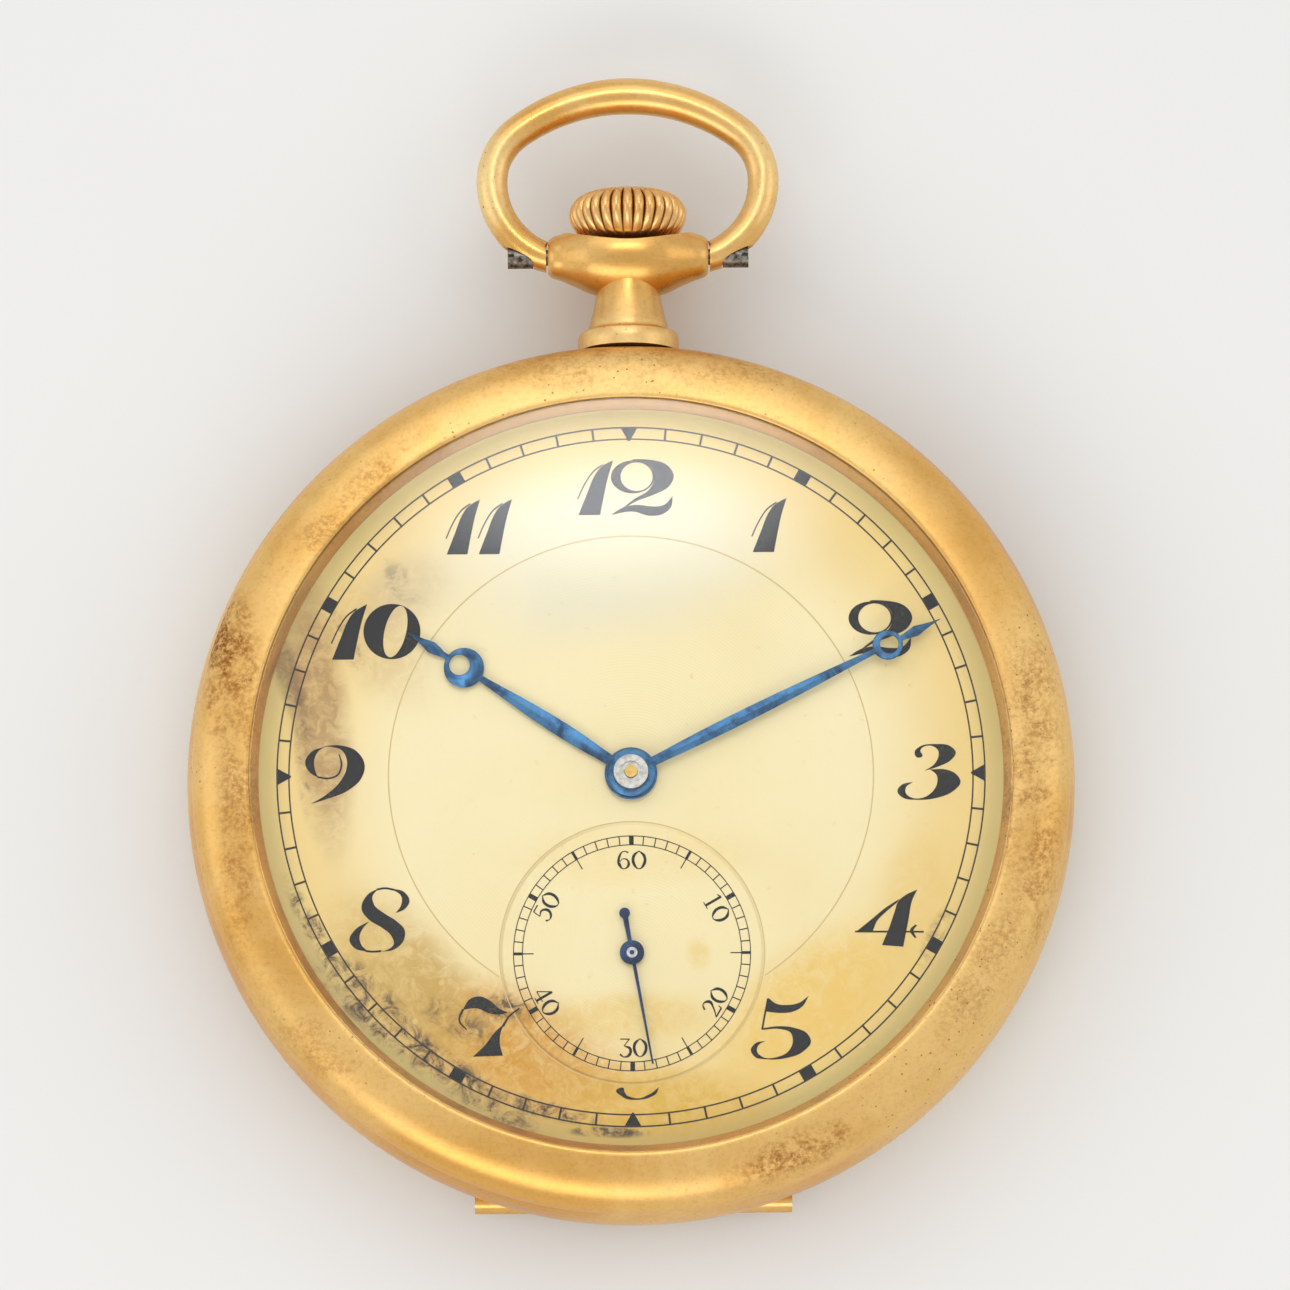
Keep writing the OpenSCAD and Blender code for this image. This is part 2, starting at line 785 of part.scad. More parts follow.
centre_pinion_phase = mesh(dir(barrel_p, centre_p), 0, 80, 10);
third_pinion_phase = mesh(dir(centre_p, third_p), 0, 80, 10);
fourth_pinion_phase = mesh(dir(third_p, fourth_p), 0, 75, 10);
escape_pinion_phase = mesh(dir(fourth_p, escape_p), 0, 80, 8);

module centre_wheel() {
    color(brass) {
        slab(3.55, 3.8) spoked_gear(80, 0.14, 0, 4.95, 1.1, 5, 0.55);
        slab(3.5, 5.3) gear(10, 0.2, leaf_form, centre_pinion_phase);
        rod(0.3, z_bridge + 0.1, 3.6);
        rod(0.5, 3.5, z_motion);
        rod(0.35, z_motion - eps, 8.5);
    }
}

module third_wheel() {
    color(brass) {
        at(third_p) {
            slab(3.5, 4) gear(10, 0.14, leaf_form, third_pinion_phase);
            slab(4.35, 4.55) spoked_gear(75, 0.12, 0, 3.9, 0.8, 5, 0.42);
        }
        arbor(third_p, 3.1, 5.25);
    }
}

module fourth_wheel() {
    color(brass) {
        at(fourth_p) {
            slab(4.2, 4.7) gear(10, 0.12, leaf_form, fourth_pinion_phase);
            slab(5, 5.2) spoked_gear(80, 0.1, 0, 3.5, 0.7, 5, 0.38);
            rod(pivot_r, 5.2, z_second - 0.04);
        }
        arbor(fourth_p, 3.1, 5.25);
    }
}

function club_tooth(a) = [
    polar(1.75, a - 10), polar(1.8, a - 2.5), polar(2.18, a + 3.2),
    polar(2.25, a + 7.5), polar(2.12, a + 6.2), polar(1.78, a + 2.8), polar(1.75, a + 8)
];

module escape_wheel() {
    color(steel) {
        at(escape_p) {
            slab(4.65, 4.85) difference() {
                polygon([for (i = [0:14]) each club_tooth(24 * i)]);
                difference() {
                    circle(1.45);
                    circle(0.62);
                    for (i = [0:3])
                        rotate(90 * i) translate([0, -0.15]) square([2, 0.3]);
                }
            }
            slab(4.93, 5.25) gear(8, 0.1, leaf_form, escape_pinion_phase);
        }
        arbor(escape_p, 3.1, 5.3, 0.22);
    }
}

// ---- escapement and balance ----

stone_tip = 1.05;
stone_l = 0.25;
stone_a = [135.8, -135.8];

module pallet_fork() {
    color(steel) {
        at(pallet_p) slab(4.65, 4.85) rotate(pallet_dir) {
            circle(0.42);
            for (a = stone_a)
                rotate(a) polygon([
                    [0, -0.25], [stone_tip - stone_l - 0.01, -0.2],
                    [stone_tip - stone_l - 0.01, 0.2], [0, 0.25]
                ]);
            difference() {
                polygon([
                    [0, -0.26], [2.6, -0.14], [3, -0.42], [3.56, -0.42], [3.56, 0.42],
                    [3, 0.42], [2.6, 0.14], [0, 0.26]
                ]);
                translate([3.2, -0.15]) square([1, 0.3]);
            }
        }
        at(pallet_p) {
            rod(0.2, 4.52, 5.25);
            rod(pivot_r, 4.1, 4.6);
            rod(pivot_r, 5.2, z_plate + 0.35);
        }
    }
}

module pallet_stones() {
    color(ruby) at(pallet_p) slab(4.67, 4.83) rotate(pallet_dir)
        for (a = stone_a)
            rotate(a) translate([stone_tip - stone_l, -0.12]) square([stone_l, 0.24]);
}

balance_r = balance_d / 2;

module balance_wheel() {
    color(brass) at(balance_p) {
        slab(3.3, 3.85) difference() {
            circle(balance_r);
            circle(balance_r - 0.6);
        }
        slab(3.45, 3.7) difference() {
            union() {
                circle(0.9);
                rotate(65) translate([-balance_r + 0.3, -0.32]) square([2 * balance_r - 0.6, 0.64]);
            }
            circle(0.31);
        }
    }
}

module balance_screws() {
    color(gold) at(balance_p, 3.57)
        for (a = [14:24:350])
            rotate(a + 65)
                difference() {
                    rod_x(0.22, balance_r, balance_r + 0.34);
                    rod_x(0.06, balance_r + 0.2, balance_r + 1);
                }
}

module balance_staff() {
    color(steel) at(balance_p) {
        rod(pivot_r, 2.2, 2.9);
        rod(0.25, 2.88, 3.44);
        rod(0.3, 3.42, 5.2);
        rod(1.15, 4, 4.15);
        rod(pivot_r, 5.18, z_plate + 0.35);
    }
    color(ruby) at(balance_p) rotate(pallet_dir + 180)
        translate([0.85, 0, 0]) rod(0.1, 4.1, 4.88);
}

spring_turns = 10;
spring_end_a = 190;
stud_p = balance_p + polar(3.1, spring_end_a);

module hairspring() {
    color(blue) {
        at(balance_p) slab(3.1, 3.22) rotate(spring_end_a) spiral(0.5, 3.1, spring_turns, 0.05, 24);
        at(balance_p) ring(0.49, 0.27, 3.08, 3.24);
    }
}

module hairspring_stud() {
    color(steel) difference() {
        at(stud_p) rod(0.24, 2.2, 3.3);
        at(balance_p) rotate(spring_end_a) translate([3.0, -1, 3.05]) cube([0.2, 2, 0.22]);
    }
}

module regulator() {
    a = dir(balance_p, cock_foot_p);
    color(steel) at(balance_p) slab(1.8, 2.08) difference() {
        union() {
            circle(1.5);
            rotate(a) polygon([[0, -0.5], [5, -0.12], [5, 0.12], [0, 0.5]]);
        }
        circle(0.8);
    }
}

// ---- motion work ----

cannon_phase = 0;
minute_phase = mesh(90, cannon_phase, 12, 36);
hour_phase = mesh(-90, 0, 10, 40);
setting_phase = mesh(90, minute_phase, 36, 20);

module cannon_pinion() {
    color(steel) difference() {
        union() {
            slab(z_motion + 0.05, 6.42) gear(12, 0.2, leaf_form, cannon_phase);
            rod(0.7, 6.2, 8.27);
            rod(0.96, z_minute + hand_t + 0.01, 8.42);
        }
        rod(0.37, 5, 9);
        rod(0.58, 8.34, 9);
    }
}

module minute_wheel() {
    color(brass) at(minute_p) difference() {
        union() {
            slab(z_motion + 0.05, 6.4) gear(36, 0.2, wheel_form, minute_phase);
            slab(6.38, 6.75) gear(10, 0.192, leaf_form, 0);
        }
        rod(0.31, 5, 9);
    }
}

module hour_wheel() {
    color(brass) difference() {
        union() {
            slab(6.46, 6.72) gear(40, 0.192, wheel_form, hour_phase);
            rod(1, 6.6, z_hour + 0.26);
        }
        rod(0.76, 5, 9);
    }
}

module setting_wheel() {
    color(steel) at(setting_p) difference() {
        slab(z_motion + 0.05, 6.4) gear(20, 0.2, wheel_form, setting_phase);
        rod(0.41, 5, 9);
    }
}

// ---- keyless work ----

module contrate(n, m, phase, y0, y1, form) {
    translate([0, y0, z_stem]) rotate([-90, 0, 0]) linear_extrude(y1 - y0)
        gear(n, m, form, phase);
}

slim_form = [0.75, 1, 0.4, 0.28, 0.12];
winding_phase = 90 + 180 / 19;

module winding_pinion() {
    color(steel) difference() {
        union() {
            contrate(19, 0.2, winding_phase, 15.34, 16.55, slim_form);
            rod_y(1.3, 14.7, 15.4);
            rod_y(1.1, 16.5, 16.95);
        }
        rod_y(0.63, 14, 18);
    }
}

module sliding_pinion() {
    color(steel) difference() {
        union() {
            rod_y(1.55, 12.9, 13.45);
            contrate(15, 0.2, 0, 12.9, 13.4, slim_form);
            rod_y(1, 13.4, 14.1);
            rod_y(1.3, 14.05, 14.55);
        }
        translate([-0.45, 12, z_stem - 0.45]) cube([0.9, 4, 0.9]);
    }
}

module setting_lever() {
    pin_x = -0.58;
    color(steel) {
        slab(z_motion + 0.05, 6.4) {
            at(lever_p) circle(0.8);
            at(lever_p) translate([0, -0.35]) square([pin_x - lever_p[0], 0.7]);
            translate([pin_x, lever_p[1]]) circle(0.35);
        }
        translate([pin_x, lever_p[1], 0]) rod(0.2, 3.95, 6.2);
        at(lever_p) rod(0.38, z_plate + 0.1, 6.2);
    }
}

module yoke() {
    finger_p = [0, 13.75];
    color(steel) {
        slab(z_motion + 0.05, 6.4) {
            at(yoke_p) circle(0.75);
            at(yoke_p) rotate(dir(yoke_p, finger_p)) translate([0, -0.3]) square([6.52, 0.6]);
            at(finger_p) circle(0.3);
        }
        at(finger_p) rod(0.2, 5.4, 6.2);
        at(yoke_p) rod(0.38, z_plate + 0.1, 6.2);
    }
}

module setting_spring() {
    color(steel) at(spring_screw_p) {
        slab(6.46, 6.7) {
            circle(0.85);
            translate([0, -0.4]) square([4, 0.9]);
            translate([-0.85, -3.6]) square([0.45, 3.7]);
        }
        rod(0.3, z_plate + 0.1, 6.5);
        rod(0.55, 6.69, 6.86);
    }
}

// ---- jewels and screws ----

module jewel(p, z) {
    at(p) ring(jewel_r, pivot_r + 0.03, z, z + 0.35);
}

module jewels() {
    color(ruby) {
        for (p = [third_p, fourth_p, escape_p]) jewel(p, z_bridge + 0.06);
        for (p = [third_p, fourth_p, escape_p, pallet_p, balance_p]) jewel(p, z_plate + 0.03);
        jewel(balance_p, 2.14);
        at(pallet_p) ring(0.45, pivot_r + 0.03, 4.12, 4.42);
    }
}

module bridge_screws() {
    color(blue) {
        for (p = bridge_screw_at) screw(p, 0.92, z_bridge, 0.44, 0.44, 6);
        screw(cock_foot_p, 0.92, 2.11, 0.44, 0.44, 6);
        screw(pallet_foot_p, 0.58, 4.1, 0.19, 0.29, 6);
        screw(click_p, 0.85, z_ratchet - 0.15, 0.18, 0.39, 3.2);
        screw([4.6, 14.9], 0.65, z_ratchet - 0.05, 0.14, 0.34, 3.2);
    }
}

module case_screws() {
    color(steel) for (p = case_screw_at)
        screw(p, 1.48, z_cuvette_seat + 0.02, 0.36, 0.44, 6);
}

mid_case();
pendant();
bezel();
crystal();
back_cover();
cuvette();
hinge_pin();
bow();
bow_screws();
crown();
stem();
dial();
hour_hand();
minute_hand();
seconds_hand();
main_plate();
barrel_bridge();
train_bridge();
balance_cock();
pallet_cock();
barrel();
barrel_lid();
barrel_arbor();
mainspring();
ratchet_wheel();
ratchet_screw();
crown_wheel();
crown_wheel_cap();
click();
click_spring();
centre_wheel();
third_wheel();
fourth_wheel();
escape_wheel();
pallet_fork();
pallet_stones();
balance_wheel();
balance_screws();
balance_staff();
hairspring();
hairspring_stud();
regulator();
cannon_pinion();
minute_wheel();
hour_wheel();
setting_wheel();
winding_pinion();
sliding_pinion();
setting_lever();
yoke();
setting_spring();
jewels();
bridge_screws();
case_screws();
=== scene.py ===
import json
import math

import bmesh
import bpy
from mathutils import Euler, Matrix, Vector
from mathutils.geometry import tessellate_polygon


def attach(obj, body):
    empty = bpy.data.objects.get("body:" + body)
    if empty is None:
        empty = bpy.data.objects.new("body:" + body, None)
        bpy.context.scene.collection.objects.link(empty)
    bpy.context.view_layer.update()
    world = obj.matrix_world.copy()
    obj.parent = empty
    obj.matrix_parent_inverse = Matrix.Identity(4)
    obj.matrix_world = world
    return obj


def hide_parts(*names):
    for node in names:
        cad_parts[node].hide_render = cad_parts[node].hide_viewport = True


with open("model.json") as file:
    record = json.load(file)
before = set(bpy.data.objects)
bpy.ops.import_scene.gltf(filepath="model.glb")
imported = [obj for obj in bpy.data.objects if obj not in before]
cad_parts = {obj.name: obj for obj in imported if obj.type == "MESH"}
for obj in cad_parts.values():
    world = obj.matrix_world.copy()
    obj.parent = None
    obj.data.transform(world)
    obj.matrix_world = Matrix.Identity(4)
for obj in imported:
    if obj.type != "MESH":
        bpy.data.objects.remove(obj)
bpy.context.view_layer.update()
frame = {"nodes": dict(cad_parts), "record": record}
mm = 0.001

# heights and places that several pieces share, in mm, and where the hands point, in degrees
watch = {
    "stem": 4.3, "pivot": 30.36, "dialTop": 7.3, "wellTop": 7.18, "secondsY": -10.06,
    "hourTime": -303.0, "minuteTime": -63.6, "secondTime": -169.8,
}


def polar(r, degrees):
    a = math.radians(degrees)
    return (r * math.cos(a), r * math.sin(a))


def clock(r, minutes):
    return polar(r, 90 - minutes * 6)


def turned(p, degrees):
    a = math.radians(degrees)
    return (p[0] * math.cos(a) - p[1] * math.sin(a), p[0] * math.sin(a) + p[1] * math.cos(a))


def addMesh(name, verts, faces, smooth=None):
    mesh = bpy.data.meshes.new(name)
    mesh.from_pydata([(x * mm, y * mm, z * mm) for x, y, z in verts], [], faces)
    bm = bmesh.new()
    bm.from_mesh(mesh)
    bmesh.ops.recalc_face_normals(bm, faces=bm.faces)
    bm.to_mesh(mesh)
    bm.free()
    obj = bpy.data.objects.new(name, mesh)
    bpy.context.scene.collection.objects.link(obj)
    if smooth is not None:
        mesh.set_sharp_from_angle(angle=math.radians(smooth))
    return obj


def addFace(faces, loop):
    # leaves out repeated points, and the whole face where fewer than three are left
    points = list(dict.fromkeys(loop))
    if len(points) > 2:
        faces.append(points)


def joinRings(faces, a, b):
    # four-sided faces between two rings of point numbers
    for i in range(len(a)):
        k = (i + 1) % len(a)
        faces.append([a[i], a[k], b[k], b[i]])


def addSheet(name, halfWide, halfHigh):
    # flat rectangle about the origin, in metres
    mesh = bpy.data.meshes.new(name)
    mesh.from_pydata([(-halfWide, -halfHigh, 0), (halfWide, -halfHigh, 0),
                      (halfWide, halfHigh, 0), (-halfWide, halfHigh, 0)], [], [(0, 1, 2, 3)])
    obj = bpy.data.objects.new(name, mesh)
    bpy.context.scene.collection.objects.link(obj)
    return obj


def carve(obj, other, operation):
    # joins a second closed mesh to a piece or cuts it away, and then removes it
    modifier = obj.modifiers.new("join", "BOOLEAN")
    modifier.operation = operation
    modifier.solver = "EXACT"
    modifier.object = other
    evaluated = obj.evaluated_get(bpy.context.evaluated_depsgraph_get())
    mesh = bpy.data.meshes.new_from_object(evaluated)
    obj.modifiers.clear()
    obj.data = mesh
    bpy.data.objects.remove(other, do_unlink=True)


def lathe(name, profile, steps=360, smooth=35, place=None):
    # profile is a closed loop of (r, z), turned about the Z axis
    verts, faces, n = [], [], len(profile)
    onAxis = [abs(p[0]) < 1e-9 for p in profile]
    index = {}
    for i in range(steps):
        a = 2 * math.pi * i / steps
        for j, (r, z) in enumerate(profile):
            if onAxis[j] and i > 0:
                index[i, j] = index[0, j]
                continue
            index[i, j] = len(verts)
            p = (r * math.cos(a), r * math.sin(a), z)
            verts.append(place(p) if place else p)
    for i in range(steps):
        k = (i + 1) % steps
        for j in range(n):
            m = (j + 1) % n
            addFace(faces, [index[i, j], index[k, j], index[k, m], index[i, m]])
    return addMesh(name, verts, faces, smooth)


def alongY(p):
    # turns a lathe about Z into one about the stem
    return (p[0], p[2], watch["stem"] - p[1])


sharp = "sharp"


def smoothCurve(points, closed=False, steps=6):
    # rounds a list of points (x, y) or (x, y, sharp) with a curve that goes through them
    n = len(points)
    out = []
    last = n if closed else n - 1
    for i in range(last):
        p0, p1 = points[(i - 1) % n], points[i]
        p2, p3 = points[(i + 1) % n], points[(i + 2) % n]
        sharp1, sharp2 = len(p1) > 2, len(p2) > 2
        if not closed and i == 0:
            sharp1 = True
        if not closed and i == last - 1:
            sharp2 = True
        d = math.dist(p1[:2], p2[:2])

        def tangent(a, b, c):
            ab, bc = math.dist(a[:2], b[:2]) or 1, math.dist(b[:2], c[:2]) or 1
            t = [(b[k] - a[k]) / ab * bc + (c[k] - b[k]) / bc * ab for k in (0, 1)]
            size = math.hypot(*t) or 1
            return [v / size * d for v in t]

        t1 = [p2[k] - p1[k] for k in (0, 1)] if sharp1 else tangent(p0, p1, p2)
        t2 = [p2[k] - p1[k] for k in (0, 1)] if sharp2 else tangent(p1, p2, p3)
        if sharp1 and sharp2:
            out.append(tuple(p1[:2]))
            continue
        for s in range(steps):
            t = s / steps
            h = (2 * t ** 3 - 3 * t ** 2 + 1, t ** 3 - 2 * t ** 2 + t,
                 -2 * t ** 3 + 3 * t ** 2, t ** 3 - t ** 2)
            out.append(tuple(h[0] * p1[k] + h[1] * t1[k] + h[2] * p2[k] + h[3] * t2[k]
                             for k in (0, 1)))
    if not closed:
        out.append(tuple(points[-1][:2]))
    return out


def plateShape(outline, holes=()):
    # one flat outline with holes: returns points, triangles and the point numbers of each loop
    loops = [outline, *holes]
    triangles = tessellate_polygon([[Vector((x, y, 0)) for x, y in loop] for loop in loops])
    points = [p for loop in loops for p in loop]
    rings, start = [], 0
    for loop in loops:
        rings.append(list(range(start, start + len(loop))))
        start += len(loop)
    return points, triangles, rings


def addPlates(name, shapes, z0, z1, smooth=None):
    # closed thin plates: shapes is a list of (outline, holes) or (outline, holes, low, high)
    verts, faces = [], []
    for shape in shapes:
        low, high = (shape[2], shape[3]) if len(shape) > 2 else (z0, z1)
        points, triangles, rings = plateShape(shape[0], shape[1])
        base, n = len(verts), len(points)
        verts += [(x, y, low) for x, y in points] + [(x, y, high) for x, y in points]
        for t in triangles:
            faces.append([base + i for i in reversed(t)])
            faces.append([base + n + i for i in t])
        for ring in rings:
            joinRings(faces, [base + i for i in ring], [base + n + i for i in ring])
    return addMesh(name, verts, faces, smooth)


def circlePoints(c, r, steps=48):
    return [(c[0] + r * math.cos(2 * math.pi * i / steps),
             c[1] + r * math.sin(2 * math.pi * i / steps)) for i in range(steps)]


def ribbon(line, widths):
    # outline of a stroke along a line whose width changes
    left, right = [], []
    for i, p in enumerate(line):
        a, b = line[max(i - 1, 0)], line[min(i + 1, len(line) - 1)]
        d = math.hypot(b[0] - a[0], b[1] - a[1]) or 1
        nx, ny = -(b[1] - a[1]) / d, (b[0] - a[0]) / d
        w = widths[i] / 2
        left.append((p[0] + nx * w, p[1] + ny * w))
        right.append((p[0] - nx * w, p[1] - ny * w))
    return left + right[::-1]


# shader tools

def feed(tree, made, inputs):
    # links or sets the inputs of a node by name or number
    for key, value in inputs.items():
        if isinstance(value, bpy.types.NodeSocket):
            tree.links.new(value, made.inputs[key])
        else:
            made.inputs[key].default_value = value


def node(tree, kind, **values):
    made = tree.nodes.new(kind)
    inputs = values.pop("inputs", {})
    for key, value in values.items():
        setattr(made, key, value)
    feed(tree, made, inputs)
    return made


def objectPoint(tree):
    return tree.nodes.new("ShaderNodeTexCoord").outputs["Object"]


def mapped(tree, point, **values):
    # a point moved, turned or stretched: Location, Rotation, Scale
    return node(tree, "ShaderNodeMapping", inputs={"Vector": point, **values}).outputs[0]


def lengthOf(tree, point):
    # how far a point is from the origin
    return node(tree, "ShaderNodeVectorMath", operation="LENGTH",
                inputs={0: point}).outputs["Value"]


def math2(tree, operation, a, b=0.0, clamp=False):
    return node(tree, "ShaderNodeMath", operation=operation, use_clamp=clamp,
                inputs={0: a, 1: b}).outputs[0]


def times(tree, a, b, clamp=False):
    return math2(tree, "MULTIPLY", a, b, clamp)


def plus(tree, a, b):
    return math2(tree, "ADD", a, b)


def rampTo(tree, value, low, high, outLow=0.0, outHigh=1.0):
    # smooth step between two values
    return node(tree, "ShaderNodeMapRange", clamp=True, interpolation_type="SMOOTHSTEP", inputs={
        "Value": value, "From Min": low, "From Max": high, "To Min": outLow, "To Max": outHigh,
    }).outputs["Result"]


def mixColour(tree, factor, a, b):
    return node(tree, "ShaderNodeMix", data_type="RGBA", blend_type="MIX", clamp_factor=True,
                inputs={0: factor, 6: a, 7: b}).outputs[2]


def noise(tree, vector, scale, detail=4.0, rough=0.55, distortion=0.0):
    return node(tree, "ShaderNodeTexNoise", noise_dimensions="3D", inputs={
        "Vector": vector, "Scale": scale, "Detail": detail, "Roughness": rough,
        "Distortion": distortion,
    }).outputs["Fac"]


def bump(tree, height, strength, distance):
    return node(tree, "ShaderNodeBump", inputs={
        "Height": height, "Strength": strength, "Distance": distance,
    }).outputs["Normal"]


def newGroup(name, inputs, outputs):
    tree = bpy.data.node_groups.new(name, "ShaderNodeTree")
    for label, kind, value in inputs:
        made = tree.interface.new_socket(name=label, in_out="INPUT", socket_type=kind)
        made.default_value = value
    for label, kind in outputs:
        tree.interface.new_socket(name=label, in_out="OUTPUT", socket_type=kind)
    start = tree.nodes.new("NodeGroupInput")
    end = tree.nodes.new("NodeGroupOutput")
    return tree, start, end


def rgb(red, green, blue):
    # from plain 0 to 255 screen values
    def linear(v):
        v /= 255
        return v / 12.92 if v <= 0.04045 else ((v + 0.055) / 1.055) ** 2.4

    return (linear(red), linear(green), linear(blue), 1)


def blob(tree, point, centre, size, stretch=(1, 1), turn=0.0):
    # soft spot: 1 at a place in mm, falling to 0 at its edge
    moved = node(tree, "ShaderNodeMapping", vector_type="TEXTURE", inputs={
        "Vector": point, "Location": (centre[0] * mm, centre[1] * mm, 0),
        "Rotation": (0, 0, math.radians(turn)),
        "Scale": (size * stretch[0] * mm, size * stretch[1] * mm, 1e6),
    }).outputs[0]
    return rampTo(tree, lengthOf(tree, moved), 1.0, 0.35)


def spotMask(tree, point, spots):
    # the strongest of many soft spots: place, size, stretch, turn, amount
    total = 0.0
    for centre, size, stretch, turn, amount in spots:
        one = times(tree, blob(tree, point, centre, size, stretch, turn), amount)
        total = math2(tree, "MAXIMUM", total, one)
    return total


print("tools ready")

# worn gold, shared by case, bow, crown and lids: how many of each mark go into a metre
wornGold = {"cloud": 75.0, "grain": 3600.0, "fine": 14400.0, "pits": 1980.0, "scratch": 520.0}


def makeGoldGroup():
    v = wornGold
    tree, start, end = newGroup("wornGold", [
        ("Metal", "NodeSocketColor", rgb(222, 166, 84)),
        ("Pale", "NodeSocketColor", rgb(247, 214, 148)),
        ("Tarnish", "NodeSocketColor", rgb(120, 66, 20)),
        ("Wear", "NodeSocketFloat", 0.5),
        ("StainAndShade", "NodeSocketFloat", 0.0),
    ], [("Color", "NodeSocketColor"), ("Roughness", "NodeSocketFloat"),
        ("Height", "NodeSocketFloat")])
    point = objectPoint(tree)
    give = start.outputs
    cloud = noise(tree, point, v["cloud"], 6, 0.6, 0.4)
    grain = noise(tree, point, v["grain"], 5, 0.75)
    fine = noise(tree, point, v["fine"], 2, 0.6)
    pits = node(tree, "ShaderNodeTexVoronoi", inputs={
        "Vector": point, "Scale": v["pits"], "Randomness": 1.0}).outputs["Distance"]
    pitMask = times(tree, rampTo(tree, pits, 0.16, 0.05), rampTo(tree, cloud, 0.5, 0.62))
    streak = mapped(tree, point, Rotation=(0.4, 0.2, 0.7), Scale=(1, 18, 1))
    scratchMask = rampTo(tree, noise(tree, streak, v["scratch"], 2, 0.5), 0.64, 0.72)
    colour = mixColour(tree, rampTo(tree, cloud, 0.35, 0.68), give["Metal"], give["Pale"])
    colour = mixColour(tree, times(tree, rampTo(tree, grain, 0.45, 0.75), 0.22), colour,
                       give["Tarnish"])
    # stains and pits, and on the bezel painted shade along its left and right sides, all laid on in
    # the tarnish colour
    dirtAndShade = times(tree, give["StainAndShade"], rampTo(tree, grain, 0.30, 0.62), True)
    dirtAndShade = math2(tree, "MAXIMUM", dirtAndShade, times(tree, pitMask, 0.8))
    colour = mixColour(tree, dirtAndShade, colour, give["Tarnish"])
    colour = mixColour(tree, times(tree, scratchMask, 0.2), colour, give["Pale"])
    rough = rampTo(tree, cloud, 0.3, 0.7, 0.24, 0.40)
    rough = plus(tree, rough, times(tree, dirtAndShade, 0.3))
    rough = plus(tree, rough, times(tree, give["Wear"], 0.08))
    height = plus(tree, times(tree, grain, 0.7), times(tree, fine, 0.5))
    height = math2(tree, "SUBTRACT", height, times(tree, pitMask, 1.2))
    height = math2(tree, "SUBTRACT", height, times(tree, scratchMask, 0.25))
    feed(tree, end, {"Color": colour, "Roughness": rough, "Height": height})
    return tree


goldGroup = makeGoldGroup()


def newMaterial(name, metallic=0.0):
    material = bpy.data.materials.new(name)
    material.use_nodes = True
    tree = material.node_tree
    tree.nodes.clear()
    out = tree.nodes.new("ShaderNodeOutputMaterial")
    shader = tree.nodes.new("ShaderNodeBsdfPrincipled")
    tree.links.new(shader.outputs[0], out.inputs["Surface"])
    shader.inputs["Metallic"].default_value = metallic
    return material, tree, shader


def wornSurface(tree, metal, pale, tarnish, wear, stainAndShade=0.0):
    return node(tree, "ShaderNodeGroup", node_tree=goldGroup, inputs={
        "Metal": metal, "Pale": pale, "Tarnish": tarnish, "Wear": wear, "StainAndShade": stainAndShade}).outputs


def goldMaterial(name, metal, pale, tarnish, wear, strength, stainAndShade=None):
    material, tree, shader = newMaterial(name, 1.0)
    worn = wornSurface(tree, metal, pale, tarnish, wear, stainAndShade(tree) if stainAndShade else 0.0)
    feed(tree, shader, {"Base Color": worn["Color"], "Roughness": worn["Roughness"],
                        "Normal": bump(tree, worn["Height"], strength, 0.00002)})
    return material


def plainMetal(name, colour, other, rough, scale, stretch=(1, 1, 1), strength=0.15):
    # metal with a fine grain of a second colour
    material, tree, shader = newMaterial(name, 1.0)
    grain = noise(tree, mapped(tree, objectPoint(tree), Scale=stretch), scale, 4, 0.6)
    feed(tree, shader, {
        "Base Color": mixColour(tree, rampTo(tree, grain, 0.35, 0.7), colour, other),
        "Roughness": rampTo(tree, grain, 0.3, 0.7, rough, rough + 0.15),
        "Normal": bump(tree, grain, strength, 0.00001)})
    return material


# bezel and case

bezelShape = {
    "profile": [
        (24.66, 6.64), (24.66, 6.74), (24.62, 7.0), (24.55, 7.22), (24.45, 7.42), (24.3, 7.62),
        (24.1, 7.83), (23.85, 8.03), (23.5, 8.23), (23.1, 8.39), (22.7, 8.5), (22.3, 8.58),
        (21.95, 8.63), (21.7, 8.66), (21.56, 8.665), (21.46, 8.65), (21.4, 8.61), (21.38, 8.56),
        (21.38, 8.46), (21.76, 8.46), (21.76, 8.08), (21.3, 8.08), (21.12, 7.86), (20.9, 7.56),
        (20.87, 7.46), (20.86, 7.35), (23.54, 7.35), (23.54, 6.64),
    ],
}
bezel = lathe("bezelRing", bezelShape["profile"], 480, 28)
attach(bezel, "case")
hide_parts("bezel")


def bezelStainAndShade(tree):
    point = objectPoint(tree)
    # spots on the left and right sides are painted shade and a painted dark reflection; the other
    # spots are stains
    total = spotMask(tree, point, [
        ((-23.0, 8.2), 4.6, (0.55, 1.4), 20, 0.95), ((-23.2, 4.2), 2.2, (0.5, 1.6), 8, 0.6),
        ((9.0, -21.4), 3.4, (1.4, 0.42), 24, 0.85), ((22.4, -1.0), 8.5, (0.28, 1.4), 0, 0.6),
        ((19.5, -11.5), 5.5, (0.3, 1.3), -30, 0.35), ((-21.9, -2.0), 8.0, (0.2, 1.4), 0, 0.5),
        ((-16.0, 15.2), 6.0, (1.3, 0.22), 44, 0.4), ((-17.5, -15.4), 4.0, (1.2, 0.4), -42, 0.3),
        ((0.0, 23.4), 12.0, (1.6, 0.2), 0, 0.3),
    ])
    patchy = rampTo(tree, noise(tree, point, 420, 6, 0.65, 0.6), 0.34, 0.6)
    return times(tree, total, patchy)
